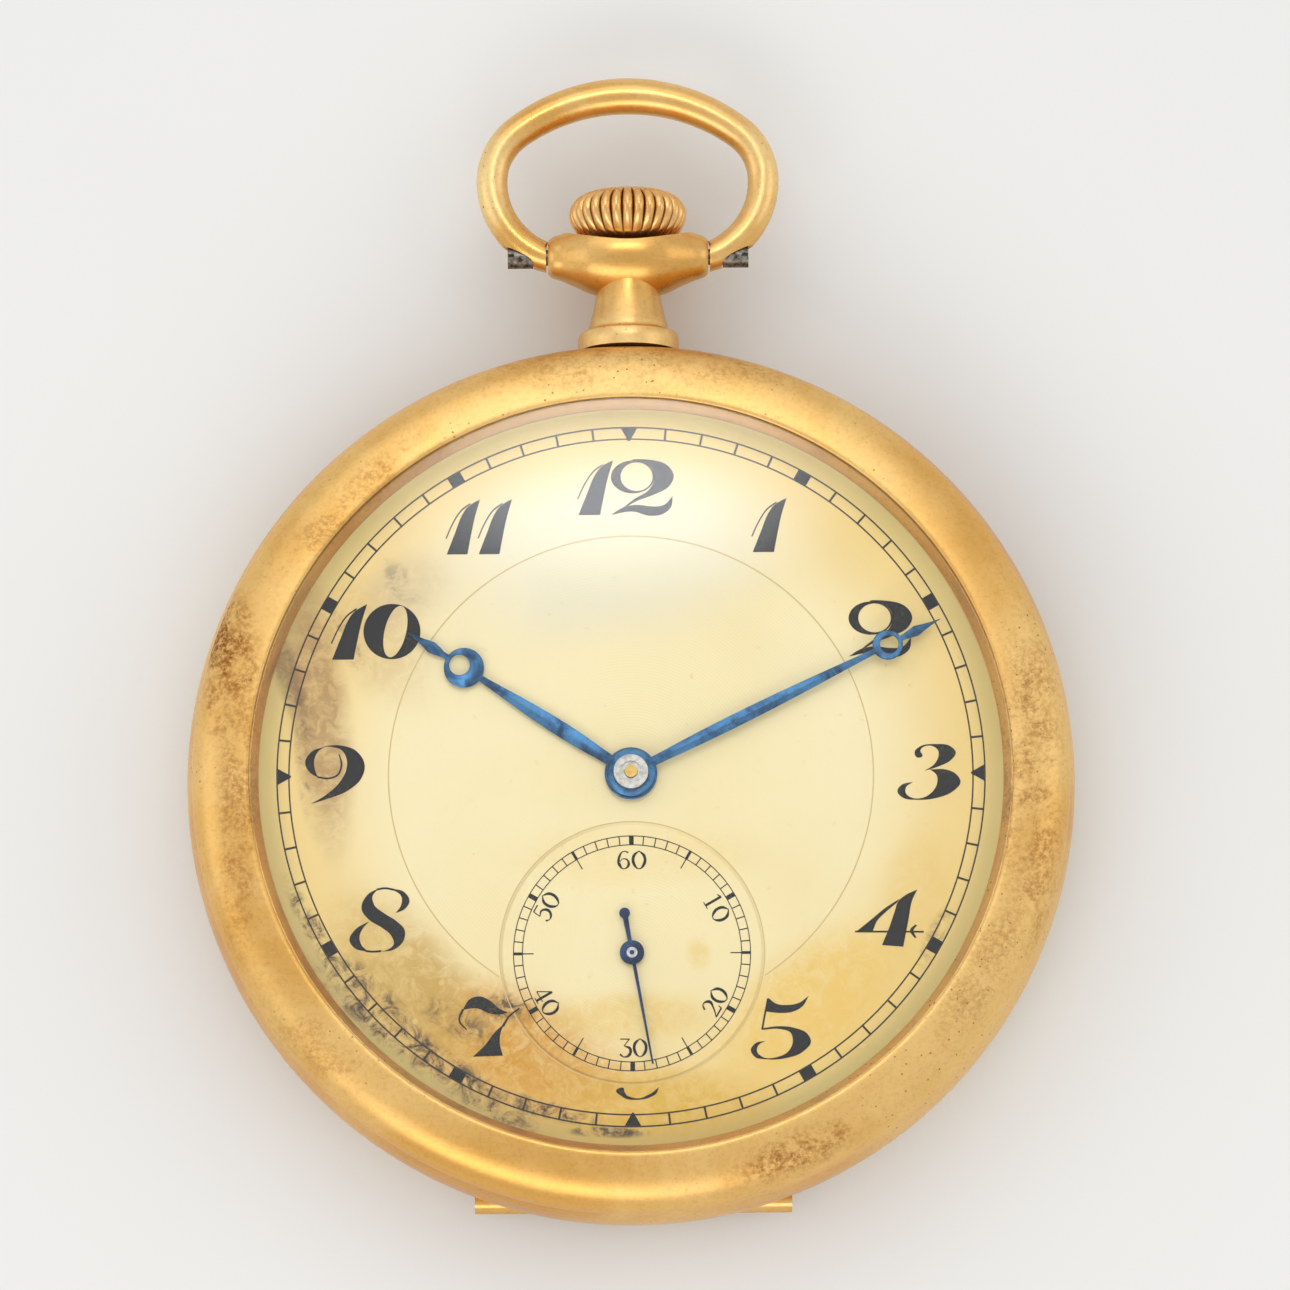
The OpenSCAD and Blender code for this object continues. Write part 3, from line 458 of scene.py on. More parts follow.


# bezel gold, with painted shade along its left and right sides
caseGold = goldMaterial("caseGold", rgb(228, 174, 92), rgb(242, 202, 130), rgb(142, 78, 22),
                        0.6, 0.3, bezelStainAndShade)
rimGold = goldMaterial("rimGold", rgb(220, 162, 82), rgb(240, 200, 130), rgb(130, 72, 26),
                       0.5, 0.35)
brightGold = goldMaterial("brightGold", rgb(232, 178, 98), rgb(250, 220, 156), rgb(132, 72, 24),
                          0.1, 0.25)
bezel.data.materials.append(caseGold)
print("bezel done")

# crystal

crystalShape = {
    "edge": 21.72, "low": 8.11, "high": 8.43, "domeTop": 9.9, "domeUnder": 8.95,
    "outerR": 21.35, "innerR": 21.3, "steps": 24, "bending": 1.42,
}


def dome(r0, z0, z1, steps):
    # part of a ball from its edge up to its middle, as points (r, z)
    s = z1 - z0
    ball = (r0 * r0 + s * s) / (2 * s)
    return [(r0 * (1 - i / steps), z1 - ball + math.sqrt(ball ** 2 - (r0 * (1 - i / steps)) ** 2))
            for i in range(steps + 1)]


v = crystalShape
crystalLoop = [(v["edge"], v["low"]), (v["edge"], v["high"])]
crystalLoop += dome(v["outerR"], v["high"], v["domeTop"], v["steps"])
crystalLoop += dome(v["innerR"], v["low"], v["domeUnder"], v["steps"])[::-1]
crystal = lathe("crystalDome", crystalLoop, 240, 40)
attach(crystal, "case")
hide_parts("crystal")


def glassMaterial():
    material, tree, glass = newMaterial("clearGlass")
    glass.inputs["Transmission Weight"].default_value = 1.0
    glass.inputs["IOR"].default_value = crystalShape["bending"]
    point = objectPoint(tree)
    haze = noise(tree, point, 60, 5, 0.6, 0.5)
    fine = noise(tree, point, 2500, 3, 0.6)
    feed(tree, glass, {
        "Base Color": mixColour(tree, haze, (1, 1, 1, 1), (0.985, 0.99, 0.985, 1)),
        "Roughness": rampTo(tree, fine, 0.4, 0.8, 0.02, 0.05)})
    # light that falls on the dial goes straight through the glass
    clear = node(tree, "ShaderNodeBsdfTransparent", inputs={
        0: mixColour(tree, haze, (1, 1, 0.99, 1), (0.98, 0.985, 0.97, 1))})
    path = tree.nodes.new("ShaderNodeLightPath").outputs
    through = math2(tree, "MAXIMUM", path["Is Shadow Ray"], path["Is Diffuse Ray"])
    mixed = node(tree, "ShaderNodeMixShader", inputs={
        0: through, 1: glass.outputs[0], 2: clear.outputs[0]})
    tree.links.new(mixed.outputs[0], tree.nodes["Material Output"].inputs["Surface"])
    return material


crystal.data.materials.append(glassMaterial())
print("crystal done")

# dial print

trackShape = {
    "outer": 19.8, "inner": 19.13, "line": 0.085, "minuteBar": 0.12, "hourBlock": 0.8,
    "smallOuter": 6.6, "smallInner": 6.1, "smallLine": 0.05, "tenBar": 0.26, "fiveBar": 0.16,
    "fiveTail": 0.62, "secondBar": 0.06, "thick": 0.012,
}


def ringShape(c, outer, inner, steps=360):
    # flat ring about a centre
    return (circlePoints(c, outer, steps), [circlePoints(c, inner, steps)[::-1]])


def barShape(c, minutes, r0, r1, width):
    # straight bar from r0 to r1 in the direction of a minute
    d = clock(1, minutes)
    n = (-d[1] * width / 2, d[0] * width / 2)
    return ([(c[0] + d[0] * r + n[0] * s, c[1] + d[1] * r + n[1] * s)
             for r, s in ((r0, 1), (r0, -1), (r1, -1), (r1, 1))], [])


def minuteTrack():
    v = trackShape
    c = (0, 0)
    half = v["line"] / 2
    low, high = v["inner"] + half, v["outer"] - half
    thin, blocks = [ringShape(c, r + half, r - half) for r in (v["outer"], v["inner"])], []
    for i in range(60):
        if i % 5:
            thin.append(barShape(c, i, low, high, v["minuteBar"]))
        elif i % 15:
            blocks.append(barShape(c, i, low, high, v["hourBlock"]))
        else:
            # small wedge at each quarter
            d = clock(v["inner"] - 0.12, i)
            side = clock(0.04, i + 15)
            blocks.append(([clock(high, i - 0.22), clock(high, i + 0.22),
                            (d[0] + side[0], d[1] + side[1]), (d[0] - side[0], d[1] - side[1])],
                           []))
    return thin, blocks


def smallTrack():
    v = trackShape
    c = (0, watch["secondsY"])
    half = v["smallLine"] / 2
    low, high = v["smallInner"] + half, v["smallOuter"] - half
    shapes = [ringShape(c, r + half, r - half, 180) for r in (v["smallOuter"], v["smallInner"])]
    for i in range(60):
        width = v["secondBar"]
        if i % 10 == 0:
            width = v["tenBar"]
        elif i % 5 == 0:
            shapes.append(barShape(c, i, v["smallInner"] - v["fiveTail"],
                                   v["smallInner"] - half, v["secondBar"]))
            width = v["fiveBar"]
        shapes.append(barShape(c, i, low, high, width))
    return shapes


# each digit is drawn in a box one unit high, as strokes and closed shapes
def stroke(points, widths, steps=8):
    # a line with one width, or with widths that follow one another along it
    line = smoothCurve(points, False, steps)
    if not isinstance(widths, list):
        return (ribbon(line, [widths] * len(line)), [])
    last = len(widths) - 1
    full = []
    for i in range(len(line)):
        t = i / (len(line) - 1) * last
        k = min(int(t), last - 1)
        s = t - k
        s = s * s * (3 - 2 * s)
        full.append(widths[k] * (1 - s) + widths[k + 1] * s)
    return (ribbon(line, full), [])


def shape(*points):
    # closed rounded outline, sharp where a point says so
    return (smoothCurve(list(points), True, 5), [])


def ellipse(x, y, rx, ry, lean=0.0, steps=56):
    out = []
    for i in range(steps):
        p = polar(1, 360 * i / steps)
        q = turned((p[0] * rx, p[1] * ry), lean)
        out.append((x + q[0], y + q[1]))
    return out


fatDigits = {
    "1": [
        shape((0.04, 0, sharp), (0.62, 0, sharp), (0.72, 0.34), (0.84, 0.7), (0.98, 1, sharp),
              (0.78, 0.93), (0.6, 0.84), (0.46, 0.7), (0.28, 0.4)),
        stroke([(0.02, 0.29), (0.2, 0.55), (0.44, 0.79), (0.7, 0.92)], 0.03),
    ],
    "2": [
        (ellipse(0.36, 0.69, 0.34, 0.30), [ellipse(0.42, 0.695, 0.25, 0.262)[::-1]]),
        shape((0.36, 0.985), (0.64, 1), (0.9, 0.9), (1, 0.7), (0.93, 0.52), (0.7, 0.37),
              (0.42, 0.25), (0.12, 0.04, sharp), (0.4, 0.3), (0.6, 0.44), (0.69, 0.62),
              (0.66, 0.84), (0.52, 0.95)),
        shape((0.02, 0, sharp), (0.2, 0.13), (0.42, 0.18), (0.64, 0.15), (0.84, 0.17),
              (0.98, 0.34, sharp), (0.95, 0.13), (0.82, 0.01), (0.62, -0.02), (0.36, 0.06)),
    ],
    "3": [
        shape((0.32, 0.76), (0.28, 0.86), (0.37, 0.96), (0.61, 1), (0.83, 0.97), (0.93, 0.85),
              (0.86, 0.72), (0.66, 0.6), (0.43, 0.52, sharp), (0.58, 0.63), (0.65, 0.76),
              (0.65, 0.89), (0.56, 0.965), (0.45, 0.965), (0.37, 0.89), (0.4, 0.78)),
        shape((0.52, 0.545, sharp), (0.78, 0.54), (0.94, 0.45), (1, 0.32), (0.89, 0.16),
              (0.61, 0.03), (0.33, 0), (0.07, 0.05), (0, 0.16), (0.07, 0.27), (0.25, 0.32, sharp),
              (0.14, 0.23), (0.13, 0.13), (0.21, 0.045), (0.38, 0.03), (0.55, 0.14), (0.63, 0.3),
              (0.62, 0.45)),
    ],
    "4": [
        shape((0.91, 1, sharp), (0.84, 0.83), (0.78, 0.48), (0.7, 0, sharp), (0.39, 0.03, sharp),
              (0.49, 0.31), (0.58, 0.62), (0.635, 0.8), (0.76, 0.92)),
        shape((0.02, 0.27, sharp), (0.24, 0.48), (0.43, 0.67), (0.65, 0.84, sharp),
              (0.62, 0.78, sharp), (0.46, 0.62), (0.32, 0.45), (0.26, 0.28, sharp)),
        stroke([(0, 0.27), (0.5, 0.265), (1, 0.26)], 0.03),
        stroke([(0.89, 0.38), (0.825, 0.29), (0.88, 0.155)], [0.03, 0.05, 0.03]),
    ],
    "5": [
        shape((0.3, 0.97, sharp), (0.42, 0.88), (0.61, 0.855), (0.81, 0.89), (0.97, 1, sharp),
              (0.87, 0.84), (0.72, 0.755), (0.5, 0.73), (0.26, 0.755, sharp)),
        stroke([(0.29, 0.96), (0.24, 0.72), (0.19, 0.47)], 0.03),
        shape((0.19, 0.49, sharp), (0.45, 0.52), (0.72, 0.495), (0.95, 0.39), (1, 0.28),
              (0.87, 0.12), (0.57, 0.015), (0.27, 0), (0.06, 0.045), (0, 0.145), (0.08, 0.255),
              (0.25, 0.29, sharp), (0.125, 0.22), (0.1, 0.13), (0.18, 0.045), (0.44, 0.035),
              (0.63, 0.13), (0.7, 0.29), (0.66, 0.42), (0.5, 0.475), (0.19, 0.465, sharp)),
    ],
    "6": [
        shape((0.02, 0.8), (0.12, 0.94), (0.19, 0.62), (0.3, 0.24), (0.5, 0.1), (0.74, 0.36),
              (1, 0.98, sharp), (0.86, 0.3), (0.57, 0), (0.29, 0.02), (0.12, 0.3)),
    ],
    "7": [
        shape((0.05, 0.77, sharp), (0.18, 0.96), (0.33, 1), (0.51, 0.93), (0.66, 0.8),
              (0.81, 0.73, sharp), (0.69, 0.7), (0.51, 0.715), (0.3, 0.8), (0.12, 0.79)),
        stroke([(0.12, 0.45), (0, 0.6), (0.06, 0.79)], [0.02, 0.03, 0.04]),
        stroke([(1, 0.8), (0.83, 0.67), (0.72, 0.5)], [0.025, 0.03, 0.04]),
        shape((0.75, 0.55, sharp), (0.69, 0.42), (0.67, 0.22), (0.72, 0.02, sharp),
              (0.22, 0.005, sharp), (0.42, 0.19), (0.6, 0.42)),
    ],
    "8": [
        shape((0.5, 0.995, sharp), (0.29, 0.88), (0.2, 0.67), (0.31, 0.51), (0.54, 0.37),
              (0.7, 0.23), (0.73, 0.12), (0.63, 0.03), (0.47, 0, sharp), (0.73, 0.03),
              (0.89, 0.17), (0.91, 0.33), (0.78, 0.47), (0.57, 0.6), (0.41, 0.73), (0.38, 0.86)),
        stroke([(0.45, 0.97), (0.58, 0.99), (0.74, 0.965)], 0.03),
        shape((0.68, 0.985, sharp), (0.9, 0.93), (0.99, 0.79), (0.92, 0.67), (0.76, 0.6, sharp),
              (0.85, 0.72), (0.86, 0.85)),
        shape((0.33, 0.475, sharp), (0.09, 0.34), (0, 0.18), (0.08, 0.06), (0.3, 0, sharp),
              (0.19, 0.12), (0.165, 0.23), (0.22, 0.36)),
        stroke([(0.26, 0.012), (0.38, 0.0), (0.52, 0.008)], 0.03),
    ],
    "9": [
        shape((0.3, 0.99, sharp), (0.6, 1), (0.86, 0.9), (1, 0.65), (0.94, 0.43), (0.71, 0.22),
              (0.39, 0.09), (0.1, 0, sharp), (0.36, 0.16), (0.58, 0.37), (0.69, 0.58),
              (0.69, 0.79), (0.61, 0.92), (0.46, 0.975)),
        shape((0.38, 0.99, sharp), (0.1, 0.89), (0, 0.71), (0.07, 0.55), (0.22, 0.45, sharp),
              (0.16, 0.61), (0.155, 0.76), (0.25, 0.93)),
        stroke([(0.21, 0.46), (0.39, 0.436), (0.54, 0.49), (0.61, 0.67), (0.57, 0.85)],
               [0.03, 0.03, 0.03, 0.03, 0.02]),
    ],
    "0": [
        (ellipse(0.5, 0.5, 0.5, 0.5), [ellipse(0.56, 0.5, 0.19, 0.475, -13)[::-1]]),
    ],
}

thinDigits = {
    "0": [
        stroke([(0.35, 0.98), (0.08, 0.72), (0.08, 0.28), (0.35, 0.02), (0.62, 0.28), (0.62, 0.72),
                (0.35, 0.98)],
               [0.05, 0.15, 0.15, 0.05, 0.15, 0.15, 0.05]),
    ],
    "1": [
        stroke([(0.36, 0.0), (0.36, 0.98)], 0.13),
        stroke([(0.16, 0.85), (0.36, 0.97)], [0.05, 0.07]),
        stroke([(0.16, 0.02), (0.56, 0.02)], 0.05),
    ],
    "2": [
        stroke([(0.10, 0.76), (0.32, 0.98), (0.60, 0.76), (0.42, 0.40), (0.06, 0.03)],
               [0.10, 0.06, 0.16, 0.08, 0.05]),
        stroke([(0.06, 0.04), (0.62, 0.04)], [0.07, 0.09]),
        stroke([(0.62, 0.04), (0.66, 0.24)], [0.07, 0.04]),
    ],
    "3": [
        stroke([(0.10, 0.96), (0.60, 0.96)], 0.06),
        stroke([(0.58, 0.95), (0.30, 0.60)], 0.05),
        stroke([(0.30, 0.60), (0.62, 0.44), (0.58, 0.12), (0.28, 0.01), (0.08, 0.16)],
               [0.05, 0.15, 0.15, 0.06, 0.10]),
    ],
    "4": [
        stroke([(0.46, 0.98), (0.05, 0.28)], 0.05),
        stroke([(0.05, 0.28), (0.68, 0.28)], 0.05),
        stroke([(0.47, 0.98), (0.47, 0.02)], 0.13),
        stroke([(0.30, 0.02), (0.64, 0.02)], 0.05),
    ],
    "5": [
        stroke([(0.16, 0.95), (0.58, 0.95)], 0.07),
        stroke([(0.16, 0.95), (0.13, 0.54)], 0.05),
        stroke([(0.13, 0.54), (0.42, 0.62), (0.62, 0.34), (0.46, 0.06), (0.22, 0.02),
                (0.07, 0.16)],
               [0.05, 0.10, 0.15, 0.12, 0.05, 0.10]),
    ],
    "6": [
        stroke([(0.58, 0.90), (0.34, 0.96), (0.10, 0.66), (0.10, 0.28), (0.34, 0.02), (0.60, 0.26),
                (0.50, 0.52), (0.30, 0.56), (0.11, 0.36)],
               [0.08, 0.05, 0.12, 0.16, 0.05, 0.14, 0.08, 0.05, 0.04]),
    ],
}


def placeDigit(digit, centre, width, height, turn=0.0, share=1.0):
    # fits a digit's box into a place on the dial, where share is the width of the digit's own box
    def put(loop):
        made = []
        for x, y in loop:
            p = turned(((x - share / 2) * width / share, (y - 0.5) * height), turn)
            made.append((centre[0] + p[0], centre[1] + p[1]))
        return made

    return [(put(outline), [put(hole) for hole in holes]) for outline, holes in digit]


# where each hour digit stands: centre, width and height in mm
hourPlaces = [
    ("1", (-1.9, 16.35), 2.1, 3.15), ("2", (0.7, 16.35), 3.6, 3.15),
    ("1", (7.85, 14.15), 2.05, 3.1),
    ("2", (14.0, 8.2), 3.65, 3.15), ("3", (16.65, 0.05), 3.55, 3.15),
    ("4", (14.35, -8.2), 3.85, 3.2), ("5", (8.25, -14.3), 3.35, 3.55),
    ("6", (0.27, -17.93), 2.4, 0.72),
    ("7", (-7.95, -14.15), 3.35, 3.4), ("8", (-14.05, -8.1), 3.4, 3.6),
    ("9", (-16.55, 0.1), 3.35, 3.3),
    ("1", (-15.75, 8.2), 2.1, 3.15), ("0", (-13.35, 8.2), 3.2, 3.15),
    ("1", (-9.35, 14.15), 2.0, 3.15), ("1", (-7.55, 14.15), 2.0, 3.15),
]
# where each number of the seconds dial stands: x, y and turn
smallPlaces = {
    "60": (0, 5.25, 0), "10": (4.75, 2.55, -60), "20": (4.6, -2.75, 60), "30": (0, -5.3, 0),
    "40": (-4.75, -2.65, -60), "50": (-4.75, 2.65, 60),
}
smallDigit = {"step": 0.84, "width": 0.74, "height": 1.05, "share": 0.7}


def hourPrint():
    shapes = []
    for digit, centre, width, height in hourPlaces:
        shapes += placeDigit(fatDigits[digit], centre, width, height)
    return shapes


def smallPrint():
    v = smallDigit
    shapes = []
    for number, (x, y, turn) in smallPlaces.items():
        for i, digit in enumerate(number):
            side = turned(((i - 0.5) * v["step"], 0), turn)
            place = (x + side[0], y + watch["secondsY"] + side[1])
            shapes += placeDigit(thinDigits[digit], place, v["width"], v["height"], turn,
                                 v["share"])
    return shapes


thinTrack, blockTrack = minuteTrack()
top, well = watch["dialTop"], watch["wellTop"]
layer = trackShape["thick"]
# parts of a digit overlap, so each is a hair higher or lower than the next
hourMarks = [(s[0], s[1], top + 0.002 * (i % 3), top + layer + 0.0015 * (i % 5))
             for i, s in enumerate(hourPrint())]
smallMarks = [(s[0], s[1], well, well + layer + 0.001 * (i % 4))
              for i, s in enumerate(smallPrint())]
dialPieces = {
    "minuteTrackPrint": (thinTrack, top, top + layer),
    "hourBlockPrint": (blockTrack, top, top + layer * 1.1),
    "hourNumeralPrint": (hourMarks, top, top + layer),
    "secondsTrackPrint": (smallTrack(), well, well + layer),
    "secondsNumeralPrint": (smallMarks, well, well + layer),
}


def inkMaterial(name, dark, worn, fade):
    # print worn thin in patches
    material, tree, shader = newMaterial(name)
    point = objectPoint(tree)
    speck = noise(tree, point, 5000, 4, 0.7)
    patch = noise(tree, point, 260, 4, 0.6)
    thin = times(tree, rampTo(tree, speck, 0.5, 0.72), rampTo(tree, patch, 0.4, 0.7))
    feed(tree, shader, {
        "Base Color": mixColour(tree, plus(tree, times(tree, thin, 0.6), fade), dark, worn),
        "Roughness": rampTo(tree, speck, 0.3, 0.7, 0.5, 0.7), "Specular IOR Level": 0.2})
    return material


inkDark = inkMaterial("numeralInk", rgb(16, 18, 20), rgb(128, 114, 76), 0.0)
inkThin = inkMaterial("trackInk", rgb(46, 38, 24), rgb(130, 110, 66), 0.04)
inkBlock = inkMaterial("blockInk", rgb(14, 16, 20), rgb(116, 104, 72), 0.0)
inkOf = {
    "minuteTrackPrint": inkThin, "hourBlockPrint": inkBlock, "hourNumeralPrint": inkDark,
    "secondsTrackPrint": inkBlock, "secondsNumeralPrint": inkBlock,
}
for name, (shapes, low, high) in dialPieces.items():
    made = addPlates(name, shapes, low, high)
    made.data.materials.append(inkOf[name])
    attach(made, "case")
print("dial print done")

# dial

dialShape = {
    "r": 20.95, "z": 6.93, "chamfer": 0.03, "hole": 1.15, "well": 7.35, "slope": 0.14,
    "smallHole": 0.4, "circle": 13.55, "circleLine": 0.07, "wellLine": (7.42, 7.36),
    "lineHigh": 0.008, "turning": 0.00017,
}


def dialMaterial():
    material, tree, shader = newMaterial("dialPaint", 0.22)
    point = objectPoint(tree)
    flat = mapped(tree, point, Scale=(1, 1, 0))
    radius = lengthOf(tree, flat)
    small = lengthOf(tree, mapped(tree, flat, Location=(0, -watch["secondsY"] * mm, 0)))
    cloud = noise(tree, point, 90, 6, 0.6, 0.6)
    mottle = noise(tree, point, 1100, 6, 0.72, 0.8)
    speck = noise(tree, point, 1900, 4, 0.7)
    wide = noise(tree, point, 45, 3, 0.5, 0.3)
    cream, golden = rgb(248, 232, 184), rgb(238, 200, 110)
    colour = mixColour(tree, rampTo(tree, wide, 0.3, 0.7), cream, rgb(245, 225, 168))
    toRim = rampTo(tree, radius, 0.0125, 0.0195)
    colour = mixColour(tree, times(tree, toRim, 0.72), colour, golden)
    margin = rampTo(tree, radius, 0.0190, 0.0206)
    colour = mixColour(tree, times(tree, margin, 0.7), colour, rgb(196, 176, 104))
    # stains: place, size, stretch, turn, colour, amount
    stains = [
        ((0, -18.6), 7.0, (1.5, 0.42), 0, rgb(220, 172, 44), 0.9),
        ((-6.6, -15.4), 7.4, (1.1, 0.6), -24, rgb(212, 150, 26), 1.0),
        ((-12.6, -11.4), 6.4, (0.6, 1.15), 38, rgb(200, 160, 70), 0.9),
        ((10.0, -13.0), 7.0, (1.15, 0.6), 38, rgb(238, 196, 92), 0.85),
        ((15.8, -7.0), 4.6, (0.6, 1.2), -14, rgb(234, 196, 104), 0.5),
        ((-17.4, 3.6), 7.2, (0.3, 1.4), 6, rgb(176, 134, 76), 0.9),
        ((-19.6, 7.0), 5.0, (0.2, 1.4), 18, rgb(132, 96, 54), 0.8),
        ((-14.2, 7.6), 5.0, (0.6, 1.1), 34, rgb(206, 172, 110), 0.55),
        ((-12.4, 10.6), 3.4, (1.0, 0.75), 30, rgb(190, 156, 108), 0.5),
        ((0.0, -4.6), 7.5, (1.2, 0.3), 0, rgb(240, 206, 122), 0.4),
        ((3.7, -10.1), 1.15, (0.8, 1.0), 20, rgb(236, 200, 104), 0.55),
        ((15.6, 8.6), 4.6, (0.6, 1.2), -30, rgb(214, 190, 120), 0.45),
        ((0.0, -13.6), 5.4, (1.1, 0.34), 0, rgb(232, 190, 84), 0.6),
    ]
    for centre, size, stretch, turn, tone, amount in stains:
        mask = blob(tree, point, centre, size, stretch, turn)
        mask = times(tree, mask, rampTo(tree, cloud, 0.30, 0.52, amount * 0.6, amount))
        mask = times(tree, mask, rampTo(tree, mottle, 0.36, 0.6, 0.55, 1.0))
        colour = mixColour(tree, mask, colour, tone)
    # brown and black spots near the rim, mostly at the lower left
    total = spotMask(tree, point, [
        ((-11.6, -15.6), 6.4, (1.6, 0.2), -37, 1.0), ((-17.6, -9.0), 3.6, (0.2, 1.2), 28, 0.95),
        ((-7.4, -13.0), 1.8, (1.3, 0.6), -14, 0.8), ((-5.6, -18.6), 3.4, (1.4, 0.2), -16, 0.95),
        ((-14.4, -12.4), 3.0, (1.3, 0.4), -46, 0.8), ((-1.4, -20.1), 2.0, (1.4, 0.2), -2, 0.9),
        ((-12.9, 11.0), 2.0, (0.5, 1.0), 40, 0.34), ((-15.9, 7.8), 2.2, (0.4, 1.1), 26, 0.4),
        ((16.9, -9.2), 2.2, (0.3, 1.1), -26, 0.35), ((-18.4, 1.6), 3.2, (0.16, 1.5), 4, 0.4),
        ((-9.6, -13.9), 2.6, (1.2, 0.5), -30, 0.55),
    ])
    ragged = noise(tree, point, 900, 8, 0.74, 0.9)
    brown = times(tree, total, rampTo(tree, ragged, 0.38, 0.58), True)
    colour = mixColour(tree, times(tree, brown, 0.8), colour, rgb(140, 100, 48))
    black = times(tree, total, rampTo(tree, ragged, 0.5, 0.62), True)
    colour = mixColour(tree, black, colour, rgb(44, 36, 26))
    # pale pin-prick spots over the lower half
    dots = node(tree, "ShaderNodeTexVoronoi", inputs={"Vector": flat, "Scale": 900.0})
    dotMask = times(tree, rampTo(tree, dots.outputs["Distance"], 0.2, 0.1),
                    rampTo(tree, ragged, 0.5, 0.6))
    height = node(tree, "ShaderNodeSeparateXYZ", inputs={0: point}).outputs[1]
    lower = rampTo(tree, height, -0.004, -0.013)
    colour = mixColour(tree, times(tree, dotMask, times(tree, lower, 0.5)), colour,
                       rgb(246, 222, 150))
    # painted reflection: pale glare of the glass laid on the dial near the top
    haze = times(tree, blob(tree, point, (-2.0, 12.5), 12.0, (1.25, 0.55), 8),
                 rampTo(tree, cloud, 0.2, 0.7, 0.25, 0.75))
    colour = mixColour(tree, haze, colour, rgb(236, 230, 206))
    colour = mixColour(tree, rampTo(tree, speck, 0.62, 0.78, 0.0, 0.3), colour, rgb(196, 160, 90))
    # fine turned rings inside the thin circle and in the sunk seconds dial
    wave = 2 * math.pi / dialShape["turning"]
    rings = math2(tree, "SINE", times(tree, radius, wave))
    rings = times(tree, times(tree, rings, rampTo(tree, radius, 0.01352, 0.01345)),
                  rampTo(tree, small, 0.0073, 0.0075))
    smallRings = math2(tree, "SINE", times(tree, small, wave))
    rings = plus(tree, rings, times(tree, smallRings, rampTo(tree, small, 0.0058, 0.0056)))
    rings = plus(tree, times(tree, rings, 0.16), times(tree, speck, 0.7))
    feed(tree, shader, {
        "Base Color": colour, "Roughness": rampTo(tree, cloud, 0.3, 0.7, 0.34, 0.5),
        "Normal": bump(tree, rings, 0.5, 0.000014)})
    return material


def makeDial():
    # disc with the sunk seconds dial, as rings of points round two centres
    v = dialShape
    r, z, top, well = v["r"], v["z"], watch["dialTop"], watch["wellTop"]
    c = (0, watch["secondsY"])
    verts, faces = [], []

    def addLoop(points, height):
        start = len(verts)
        verts.extend((x, y, height) for x, y in points)
        return list(range(start, len(verts)))

    def fill(loops, flip=False):
        flat = [[Vector((verts[i][0], verts[i][1], 0)) for i in loop] for loop in loops]
        every = [i for loop in loops for i in loop]
        for t in tessellate_polygon(flat):
            face = [every[i] for i in t]
            faces.append(face[::-1] if flip else face)

    steps = 240
    edgeTop = addLoop(circlePoints((0, 0), r - v["chamfer"], steps), top)
    edgeSide = addLoop(circlePoints((0, 0), r, steps), top - v["chamfer"])
    edgeLow = addLoop(circlePoints((0, 0), r, steps), z)
    holeTop = addLoop(circlePoints((0, 0), v["hole"], 64), top)
    holeLow = addLoop(circlePoints((0, 0), v["hole"], 64), z)
    wellEdge = addLoop(circlePoints(c, v["well"], steps), top)
    wellSlope = addLoop(circlePoints(c, v["well"] - v["slope"], steps), well)
    smallTop = addLoop(circlePoints(c, v["smallHole"], 48), well)
    smallLow = addLoop(circlePoints(c, v["smallHole"], 48), z)
    fill([edgeTop, wellEdge, holeTop])
    joinRings(faces, edgeTop, edgeSide)
    joinRings(faces, edgeSide, edgeLow)
    fill([edgeLow, holeLow, smallLow], True)
    joinRings(faces, holeTop, holeLow)
    joinRings(faces, wellEdge, wellSlope)
    fill([wellSlope, smallTop])
    joinRings(faces, smallTop, smallLow)
    return addMesh("dialDisc", verts, faces, 20)


def dialCircle():
    # thin line of the inner circle, left out where the seconds dial cuts it
    v = dialShape
    c = (0, watch["secondsY"])
    points = [polar(v["circle"], 270 + i / 2) for i in range(721)]
    arc = [p for p in points if math.dist(p, c) > v["well"] + 0.1]
    return [(ribbon(arc, [v["circleLine"]] * len(arc)), [])]


dial = makeDial()
dial.data.materials.append(dialMaterial())
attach(dial, "case")
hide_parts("dial")
circleInk = inkMaterial("circleInk", rgb(214, 188, 130), rgb(236, 212, 150), 0.2)
v = dialShape
innerCircle = addPlates("innerCirclePrint", dialCircle(), top, top + v["lineHigh"])
innerCircle.data.materials.append(circleInk)
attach(innerCircle, "case")
wellCircle = addPlates("wellEdgePrint", [ringShape((0, watch["secondsY"]), *v["wellLine"], 240)],
                       top, top + v["lineHigh"])
wellCircle.data.materials.append(circleInk)
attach(wellCircle, "case")
print("dial done")

# hands

handShape = {
    "hour": {"z": 7.6, "edge": 0.05, "ridge": 0.14, "length": 14.9, "hub": 1.47, "hubHole": 1.0,
             "ringAt": 11.1, "ring": 1.13, "hole": 0.58, "holeAt": 0.3, "narrow": 0.34,
             "wide": 0.86, "spade": 0.34},
    "minute": {"z": 7.95, "edge": 0.05, "ridge": 0.14, "length": 19.4, "hub": 1.34, "hubHole": 0.7,
               "ringAt": 16.1, "ring": 0.85, "hole": 0.52, "holeAt": 0.1, "narrow": 0.3,
               "wide": 0.74, "spade": 0.3},
}


